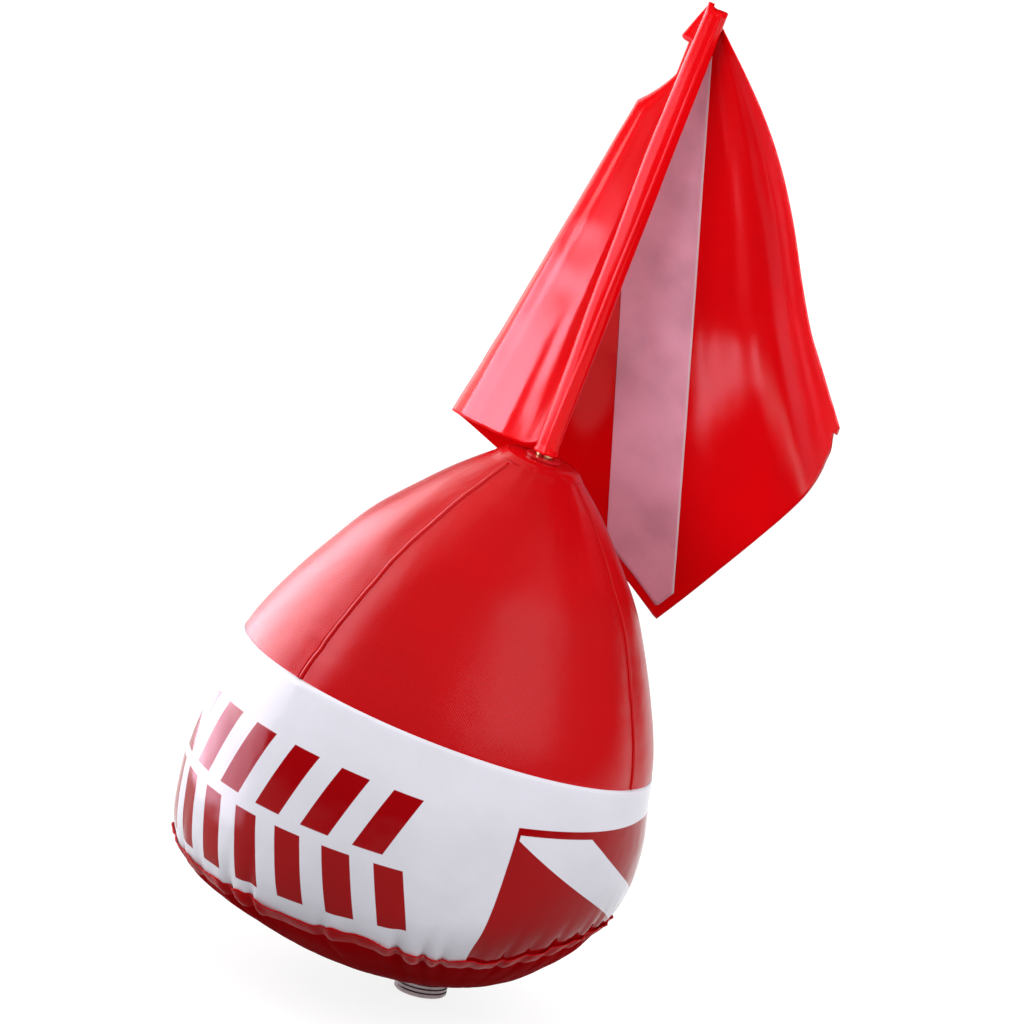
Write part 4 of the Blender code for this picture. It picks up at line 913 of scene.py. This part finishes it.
class FLOAT_OT_gores(FloatStep, bpy.types.Operator):
    """Make the cone's three panels of red cloth"""

    bl_idname = "float.gores"
    bl_label = "Cone panels"

    @staticmethod
    def open_valve(gore, reach):
        """Leave the cloth out where the valve's body passes through it, under the valve's flange."""
        seal = bpy.data.objects["valve_seal"]
        middle = seal.matrix_world @ (sum((Vector(corner) for corner in seal.bound_box), Vector()) / 8)
        shape = bmesh.new()
        shape.from_mesh(gore.data)
        inside = [point for point in shape.verts
                  if (point.co - middle).cross(VALVE_AXIS).length < reach
                  and (point.co - middle).length < 3 * reach]
        bmesh.ops.delete(shape, geom=inside, context="VERTS")
        shape.to_mesh(gore.data)
        shape.free()

    def build(self, context):
        hull = Hull()
        sizes = context.scene.float_body
        levels = spread(sizes.band_height - sizes.band_lap, sizes.height - CONE_END, 84)
        levels += [sizes.height - down for down in CLOSE_LEVELS]
        runs = [0.0]
        for low, high in zip(levels, levels[1:]):
            runs.append(runs[-1] + (hull.plain(high, 0) - hull.plain(low, 0)).length)
        for number, first in enumerate(hull.seams):
            last = hull.seams[(number + 1) % len(hull.seams)]
            if last < first:
                last += math.tau
            angles = spread(first, last, max(round((last - first) * 38), 24))
            rows = []
            for level, run in zip(levels, runs):
                radius, offset = hull.radius(level), self.offset(sizes, level)
                rows.append([(hull.point(level, angle, offset), ((angle - (first + last) / 2) * radius, run))
                             for angle in angles])
            gore = add_cloth(f"cone_panel_{number + 1}", rows, "red_coated_cloth", thickness=sizes.cloth)
            self.open_valve(gore, sizes.valve_opening)
            stands_for(gore, f"cone_gore_{number + 1}", "float_body")
            width = (last - first) * hull.radius(sizes.band_height)
            area = sum((end - start) * hull.radius(level) * (last - first)
                       for start, end, level in zip(runs, runs[1:], levels))

    @staticmethod
    def offset(sizes, level):
        """The cloth dives just under the band's upper edge and laps over the collar's rim."""
        under = -sizes.cloth * 1.1 * (1 - ease((level - sizes.band_height + DIVE_START) / DIVE_RUN))
        return under + LAP_RISE * ease((level - sizes.height + LAP_START) / LAP_RUN)


class FLOAT_OT_band(FloatStep, bpy.types.Operator):
    """Make the printed white band round the belly"""

    bl_idname = "float.band"
    bl_label = "Printed band"

    def build(self, context):
        hull = Hull()
        sizes = context.scene.float_body
        columns = spread(hull.band_seam - math.tau, hull.band_seam, ROUND_COLUMNS)

        def point(step, angle):
            low = hull.weld_level(angle) - WELD_COVER
            return hull.cloth_point(low + (sizes.band_height - low) * step**1.5, angle, LAYER_GAP)

        rows = rows_of(point, spread(0, 1, 74), columns)
        band = add_cloth("printed_band", rows, "printed_band_cloth", True, sizes.cloth)
        stands_for(band, "print_band", "float_body")


class FLOAT_OT_bottom(FloatStep, bpy.types.Operator):
    """Make the red bottom panel, gathered into its weld"""

    bl_idname = "float.bottom"
    bl_label = "Bottom panel"

    def build(self, context):
        hull = Hull()
        sizes = context.scene.float_body
        columns = spread(hull.band_seam - math.tau, hull.band_seam, ROUND_COLUMNS)

        def point(step, angle):
            high = hull.weld_level(angle) + WELD_COVER
            drop = (sizes.dome_depth + high) * step**1.35 - high
            place = hull.point(-drop, angle) if step < 1 else hull.dome(hull.flat, angle)
            return (place, self.flat_place(hull.dome_radius(max(drop, 0)), angle))

        rows = rows_of(point, spread(0, 1, 50), columns)
        rows.append([(hull.dome(STUD_HOLE, angle), self.flat_place(STUD_HOLE, angle)) for angle in columns])
        panel = add_cloth("bottom_panel_cloth", rows[::-1], "bottom_red_cloth", True, sizes.cloth)
        stands_for(panel, "bottom_panel", "float_body")
        weld = self.weld(hull, sizes)

    @staticmethod
    def flat_place(radius, angle):
        return (radius * math.cos(angle), radius * math.sin(angle))

    @staticmethod
    def weld(hull, sizes):
        """The weld's gathered edge: it lies over the band's foot, stands off in places and ends in a lip."""
        def point(section, angle):
            place, offset = section
            around_it = Vector((math.cos(angle), math.sin(angle), 0))
            loose = max(noise.noise(around_it * 7 + Vector((0, 0, 6))) + 0.10, 0)
            lift = max(hull.gather(hull.weld_level(angle) + 0.003, angle), 0) / sizes.gather_depth
            uneven = 0.85 + 0.5 * noise.noise(around_it * 8) + 1.1 * lift
            width = sizes.weld_rise * uneven if place > 0 else sizes.weld_drop
            level = hull.weld_level(angle) + width * place
            flare = sizes.weld_flare * (loose + 0.9 * lift) * max(place, 0) ** 1.6
            return hull.cloth_point(level, angle, offset + flare)

        rows = rows_of(point, WELD_SECTION, spread(hull.band_seam - math.tau, hull.band_seam, WELD_COLUMNS))
        weld = add_cloth("bottom_weld", rows, "weld_red_cloth", True, WELD_CLOTH)
        return stands_for(weld, "bottom_weld_rim", "float_body")


class FLOAT_OT_seams(FloatStep, bpy.types.Operator):
    """Make the raised beads over the seams of the cone and the band"""

    bl_idname = "float.seams"
    bl_label = "Seam beads"

    def build(self, context):
        hull = Hull()
        sizes = context.scene.float_body
        levels = spread(sizes.band_height, sizes.height - BEAD_END, 110)
        for number, seam in enumerate(hull.seams, 1):
            bead = self.bead(hull, sizes, f"cone_seam_bead_{number}", seam, levels, "red_coated_cloth", 1.0)
            stands_for(bead, f"cone_seam_tape_{number}", "float_body")
        low = hull.weld_level(hull.band_seam) + sizes.weld_rise
        levels = spread(low, sizes.band_height - 0.0004, 60)
        bead = self.bead(hull, sizes, "band_seam_bead", hull.band_seam, levels, "printed_band_cloth", 0.55)
        stands_for(bead, "band_seam_tape", "float_body")

    @staticmethod
    def bead(hull, sizes, name, seam, levels, finish, height):
        """A low round bead along a seam, which wanders a little."""
        def point(level, across):
            wander = BEAD_WANDER * noise.noise(Vector((level * 60, seam, 0.5)))
            angle = seam + (across * sizes.bead_width / 2 + wander) / hull.radius(level)
            rise = sizes.bead_rise * height * math.sqrt(max(1 - across * across, 0)) - BEAD_SINK
            return hull.cloth_point(level, angle, rise)

        return add_cloth(name, rows_of(point, levels, spread(-1, 1, 9)), finish, thickness=BEAD_CLOTH)


class FLOAT_OT_flag(FloatStep, bpy.types.Operator):
    """Make the flag's folded sheet, its white diagonal and its sleeve"""

    bl_idname = "float.flag"
    bl_label = "Flag"

    def build(self, context):
        flag = FlagSheet()
        sizes = context.scene.float_flag
        rays = spread(0, flag.corner_ray, 110) + spread(flag.corner_ray, math.pi / 2, 90)[1:]

        def point(step, ray):
            return flag.cloth_point(sizes.corner + (flag.edge(ray) - sizes.corner) * step, ray, 0)

        rows = rows_of(point, spread(0, 1, 150), rays)
        sheet = add_cloth("flag_sheet", rows, "flag_red_cloth", thickness=sizes.sheet, inward=0.0)
        stands_for(sheet, "flag_panel", "flag")
        pieces = [self.stripe(flag, sizes, side) for side in ("front", "back")]
        pieces += [self.sleeve(flag, sizes), self.top_tuck(flag, sizes)]

    @staticmethod
    def stripe(flag, sizes, side):
        """One white layer of the diagonal, from near the sleeve to the lower fly corner."""
        sign = 1 if side == "front" else -1
        drop = sizes.stripe_width * math.sqrt(2)
        offset = sign * (sizes.sheet / 2 + LAYER_GAP + sizes.stripe_sheet / 2)

        def point(step, ray):
            start = sizes.stripe_start / math.sin(ray)
            reach = min((flag.hem(ray) - sizes.stripe_border) / math.cos(ray),
                        (sizes.fly - sizes.stripe_border) / math.sin(ray))
            narrowing = math.cos(ray) - math.sin(ray)
            if narrowing * reach > drop:
                reach = drop / narrowing
            return flag.cloth_point(start + (reach - start) * step, ray, offset)

        rows = rows_of(point, spread(0, 1, 110), spread(math.radians(25), math.pi / 4, 64))
        name, thickness = f"flag_diagonal_{side}", sizes.stripe_sheet
        layer = add_cloth(name, rows, "flag_white_cloth", thickness=thickness, inward=0.0)
        return stands_for(layer, f"flag_stripe_{side}", "flag")

    @staticmethod
    def sleeve(flag, sizes):
        """The tube of cloth round the mast: slack on its left, with a welded ridge, and tucked at its top."""
        root = math.acos(sizes.sheet / 2 / sizes.sleeve_width)
        turns = spread(root, root - math.tau + 2 * (math.pi / 2 - root), 161)
        back = sizes.sleeve_depth + sizes.sleeve_tab
        bottom, peak = sizes.base - sizes.sleeve_skirt, flag.top + sizes.sleeve_peak
        shut = peak - 0.0012
        rows = []
        for step in spread(0, 1, 200):
            skirt = 1 + 0.16 * (1 - ease((step * (peak - bottom)) / 0.0045))
            slack = curve_through(SLEEVE_SLACK, step)
            ridge = sizes.ridge_top * step - sizes.ridge_foot * (1 - step)
            outline = [(sizes.sheet / 2, back)]
            for turned in turns:
                x = sizes.sleeve_width * skirt * math.cos(turned) * (slack if math.cos(turned) < 0 else 1)
                y = sizes.sleeve_depth * skirt * math.sin(turned)
                if y < 0:
                    y -= sizes.sleeve_ridge * math.exp(-(((x - ridge) / 0.0008) ** 2))
                outline.append((x, y))
            outline.append((-sizes.sheet / 2, back))
            row, length, before = [], 0.0, outline[0]
            for x, y in outline:
                length += math.dist(before, (x, y))
                before = (x, y)
                top = peak + sizes.sleeve_tip * ease((-x - 0.0015) / 0.0045)
                height = bottom + (top - bottom) * step
                closing = 1 - 0.92 * ease((height - shut) / (top - shut))
                loose = 0.0005 * ease((top - height) / 0.06) * ease((height - sizes.base) / 0.02)
                sway = loose * noise.noise(Vector((x * 160, y * 160, height * 16)))
                row.append((flag.frame @ Vector((x + sway, y * closing + sway, height)), (length, height)))
            rows.append(row)
        tube = add_cloth("mast_sleeve", rows, "flag_red_cloth", thickness=sizes.sheet)
        return stands_for(tube, "flag_sleeve", "flag")

    @staticmethod
    def top_tuck(flag, sizes):
        """The folded corner that stands out to the left of the sleeve's top."""
        start = flag.top + sizes.sleeve_peak + sizes.sleeve_tip - 0.0004

        def point(step, across):
            height = start - TUCK_DROP * step
            out = TUCK_TOP + TUCK_GROWTH * min(step / 0.94, 1) - 0.0026 * ease((step - 0.94) / 0.06)
            x = -TUCK_INNER - (out - TUCK_INNER) * across
            y = 0.0030 + 0.0050 * across * step - 0.0020 * math.sin(math.pi * across) * step
            return (flag.frame @ Vector((x, y, height)), (x, height))

        rows = rows_of(point, spread(0, 1, 28), spread(0, 1, 12))
        tuck = add_cloth("sleeve_top_tuck", rows, "flag_red_cloth", thickness=TUCK_CLOTH, inward=0.0)
        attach(tuck, "flag")
        return tuck


class FLOAT_OT_towing(FloatStep, bpy.types.Operator):
    """Make the towing point's patch and its webbing tab"""

    bl_idname = "float.towing"
    bl_label = "Towing point"

    def build(self, context):
        hull = Hull()
        low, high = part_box("tow_patch")
        width, height, bottom = high.x - low.x, PATCH_HEIGHT, PATCH_BOTTOM

        def point(up, across):
            round_x = across * math.sqrt(max(1 - 0.5 * abs(up) ** 6, 0))
            round_y = up * math.sqrt(max(1 - 0.5 * abs(across) ** 6, 0))
            level = bottom + height / 2 + round_y * height / 2
            angle = TOW_SIDE - round_x * width / 2 / hull.radius(level)
            return hull.cloth_point(level, angle, PATCH_RISE - PATCH_RIM * max(abs(up), abs(across)) ** 8)

        rows = rows_of(point, spread(-1, 1, 28), spread(-1, 1, 28))
        patch = add_cloth("towing_patch", rows, "red_coated_cloth", thickness=PATCH_CLOTH, inward=1.0)
        stands_for(patch, "tow_patch", "float_body")
        self.tab(hull, bottom, height)

    @staticmethod
    def tab(hull, bottom, height):
        """Webbing that lies down the patch, loops under the ring's bar and comes back on itself."""
        path = []
        for level in spread(bottom + height - 0.004, bottom + 0.002, 26):
            path.append(hull.plain(level, TOW_SIDE) + hull.normal(level, TOW_SIDE) * WEBBING_RISE)
        loop = TOW_BAR_RADIUS + AIR_GAP + WEBBING / 2
        for turned in spread(math.pi, math.tau + math.pi / 2, 26):
            path.append(TOW_BAR + Vector((0, loop * math.cos(turned), loop * math.sin(turned))))
        rows = []
        run = 0.0
        for index, place in enumerate(path):
            run += (place - path[max(index - 1, 0)]).length
            rows.append([(Vector((TOW_BAR.x + across, place.y, place.z)), (across, run))
                         for across in spread(-WEBBING_WIDTH / 2, WEBBING_WIDTH / 2, 9)])
        tab = add_cloth("towing_tab", rows, "webbing", thickness=WEBBING, inward=0.0)
        stands_for(tab, "tow_tab", "float_body")


class FLOAT_OT_stage(FloatStep, bpy.types.Operator):
    """Set the floor, the room, the softboxes and the camera"""

    bl_idname = "float.stage"
    bl_label = "Stage"

    def build(self, context):
        choices = context.scene.float_stage
        scene = context.scene
        scene.view_settings.view_transform = "Standard"
        self.room(scene, choices)
        self.floor()
        self.dark_card()
        self.lamps(choices)
        self.camera(scene, choices)

    @staticmethod
    def dark_card():
        """A black curved card that the camera doesn't see: it keeps the room out of the gloss."""
        turns = spread(92, -198, 30)
        shape = [[(seen_from(turn, CARD_REACH * math.cos(up), CARD_REACH * math.sin(up)), (turn, up))
                  for turn in turns] for up in spread(-0.02, 1.5, 12)]
        Finish("black_card", {"Base Color": (0.0, 0.0, 0.0), "Roughness": 1.0, "Specular IOR Level": 0.0})
        card = add_cloth("dark_card", shape, "black_card")
        card.visible_camera = False
        card.visible_diffuse = False
        card.visible_transmission = False

    @staticmethod
    def seen_white(tree):
        """1 for rays that look straight at the backdrop or see it in gloss or through glass."""
        path = tree.nodes.new("ShaderNodeLightPath")
        total = path.outputs["Is Camera Ray"]
        for name in ("Is Glossy Ray", "Is Transmission Ray"):
            either = tree.nodes.new("ShaderNodeMath")
            either.operation = "MAXIMUM"
            tree.links.new(total, either.inputs[0])
            tree.links.new(path.outputs[name], either.inputs[1])
            total = either.outputs[0]
        return total

    def room(self, scene, choices):
        world = bpy.data.worlds.new("pale_room")
        scene.world = world
        world.use_nodes = True
        tree = world.node_tree
        back = tree.nodes["Background"]
        back.inputs["Color"].default_value = (1, 1, 1, 1)
        level = tree.nodes.new("ShaderNodeMapRange")
        level.inputs["To Min"].default_value = choices.ambient
        tree.links.new(self.seen_white(tree), level.inputs["Value"])
        tree.links.new(level.outputs[0], back.inputs["Strength"])

    def floor(self):
        mesh = bpy.data.meshes.new("floor")
        corners = [(x * FLOOR_REACH, y * FLOOR_REACH, 0) for x, y in ((-1, -1), (1, -1), (1, 1), (-1, 1))]
        mesh.from_pydata(corners, [], [(0, 1, 2, 3)])
        finish = Finish("floor_paper", {
            "Base Color": (0.22, 0.22, 0.22), "Roughness": 0.9, "Specular IOR Level": 0.0,
            "Emission Strength": 0.84})
        seen = Signal(finish, self.seen_white(finish.tree))
        finish.show("Emission Color", finish.mix(seen, (0.0, 0.0, 0.0), (1.0, 1.0, 1.0)))
        mesh.materials.append(finish.material)
        add_object("floor", mesh)

    @staticmethod
    def pieces(name, starts):
        """A set of pieces, by the starts of their names, for a lamp that lights only them."""
        made = bpy.data.collections.new(name)
        for piece in bpy.context.scene.objects:
            if piece.name.startswith(starts):
                made.objects.link(piece)
        return made

    def lamps(self, choices):
        """Softboxes, and sheens: faintly pink softboxes that show only in the gloss of some pieces."""
        lit = {name: self.pieces(name, starts) for name, starts in LIT.items()}
        for name, place, target, width, height, roll, cloth in LAMPS:
            lamp = bpy.data.lights.new(name, "AREA")
            lamp.shape = "RECTANGLE"
            lamp.size, lamp.size_y = width, height
            lamp.energy = getattr(choices, name) * math.pi * width * height
            made = add_object(name, lamp)
            made.location = place
            facing = (target - place).to_track_quat("-Z", "Y")
            made.rotation_euler = (facing @ Quaternion((0, 0, 1), math.radians(roll))).to_euler()
            made.visible_camera = False
            if cloth:
                made.light_linking.receiver_collection = lit[cloth]
            if name.endswith("_sheen"):
                made.visible_diffuse = False
                lamp.color = (1.0, 0.78, 1.0)
        bpy.data.objects["flag_softbox"].visible_glossy = False
        strip = bpy.data.objects["strip_sheen"].light_linking
        strip.blocker_collection = self.pieces("floor_only", ("floor",))

    @staticmethod
    def camera(scene, choices):
        lens = bpy.data.cameras.new("camera")
        lens.lens = lens.sensor_width * choices.distance / choices.view_width
        lens.clip_end = 200
        made = scene.camera = add_object("camera", lens)
        elevation, roll = choices.elevation, choices.roll
        flat_right = Vector((1, 0, 0))
        flat_up = Vector((0, math.sin(elevation), math.cos(elevation)))
        right = flat_right * math.cos(roll) + flat_up * math.sin(roll)
        up = flat_up * math.cos(roll) - flat_right * math.sin(roll)
        pixel = choices.view_width / IMAGE
        across, down = COLLAR_SEEN
        target = COLLAR_TOP + right * (IMAGE // 2 - across) * pixel + up * (down - IMAGE // 2) * pixel
        back = right.cross(up)
        matrix = Matrix((right, up, back)).transposed().to_4x4()
        matrix.translation = target + back * choices.distance
        made.matrix_world = matrix


class FLOAT_PT_panel(bpy.types.Panel):
    """Lists the sizes and the steps of the float"""

    bl_label = "Dive flag float"
    bl_idname = "FLOAT_PT_panel"
    bl_space_type = "VIEW_3D"
    bl_region_type = "UI"
    bl_category = "Float"

    def draw(self, context):
        for group in GROUPS:
            box = self.layout.box()
            choices = getattr(context.scene, group)
            for name in choices.bl_rna.properties.keys():
                if name not in ("rna_type", "name"):
                    box.prop(choices, name)
        for step in STEPS:
            self.layout.operator(step.bl_idname)


GROUPS = {
    "float_body": FloatBodySizes,
    "float_flag": FloatFlagSizes,
    "float_finish": FloatFinishes,
    "float_stage": FloatStage,
}
STEPS = (
    FLOAT_OT_finishes, FLOAT_OT_gores, FLOAT_OT_band, FLOAT_OT_bottom,
    FLOAT_OT_seams, FLOAT_OT_flag, FLOAT_OT_towing, FLOAT_OT_stage)


def register():
    for group in GROUPS.values():
        bpy.utils.register_class(group)
    for name, group in GROUPS.items():
        setattr(bpy.types.Scene, name, bpy.props.PointerProperty(type=group))
    for step in STEPS:
        bpy.utils.register_class(step)
    bpy.utils.register_class(FLOAT_PT_panel)


def unregister():
    bpy.utils.unregister_class(FLOAT_PT_panel)
    for step in reversed(STEPS):
        bpy.utils.unregister_class(step)
    for name, group in GROUPS.items():
        delattr(bpy.types.Scene, name)
        bpy.utils.unregister_class(group)


def main():
    register()
    for step in STEPS:
        family, name = step.bl_idname.split(".")
        getattr(getattr(bpy.ops, family), name)()


if __name__ == "__main__":
    main()
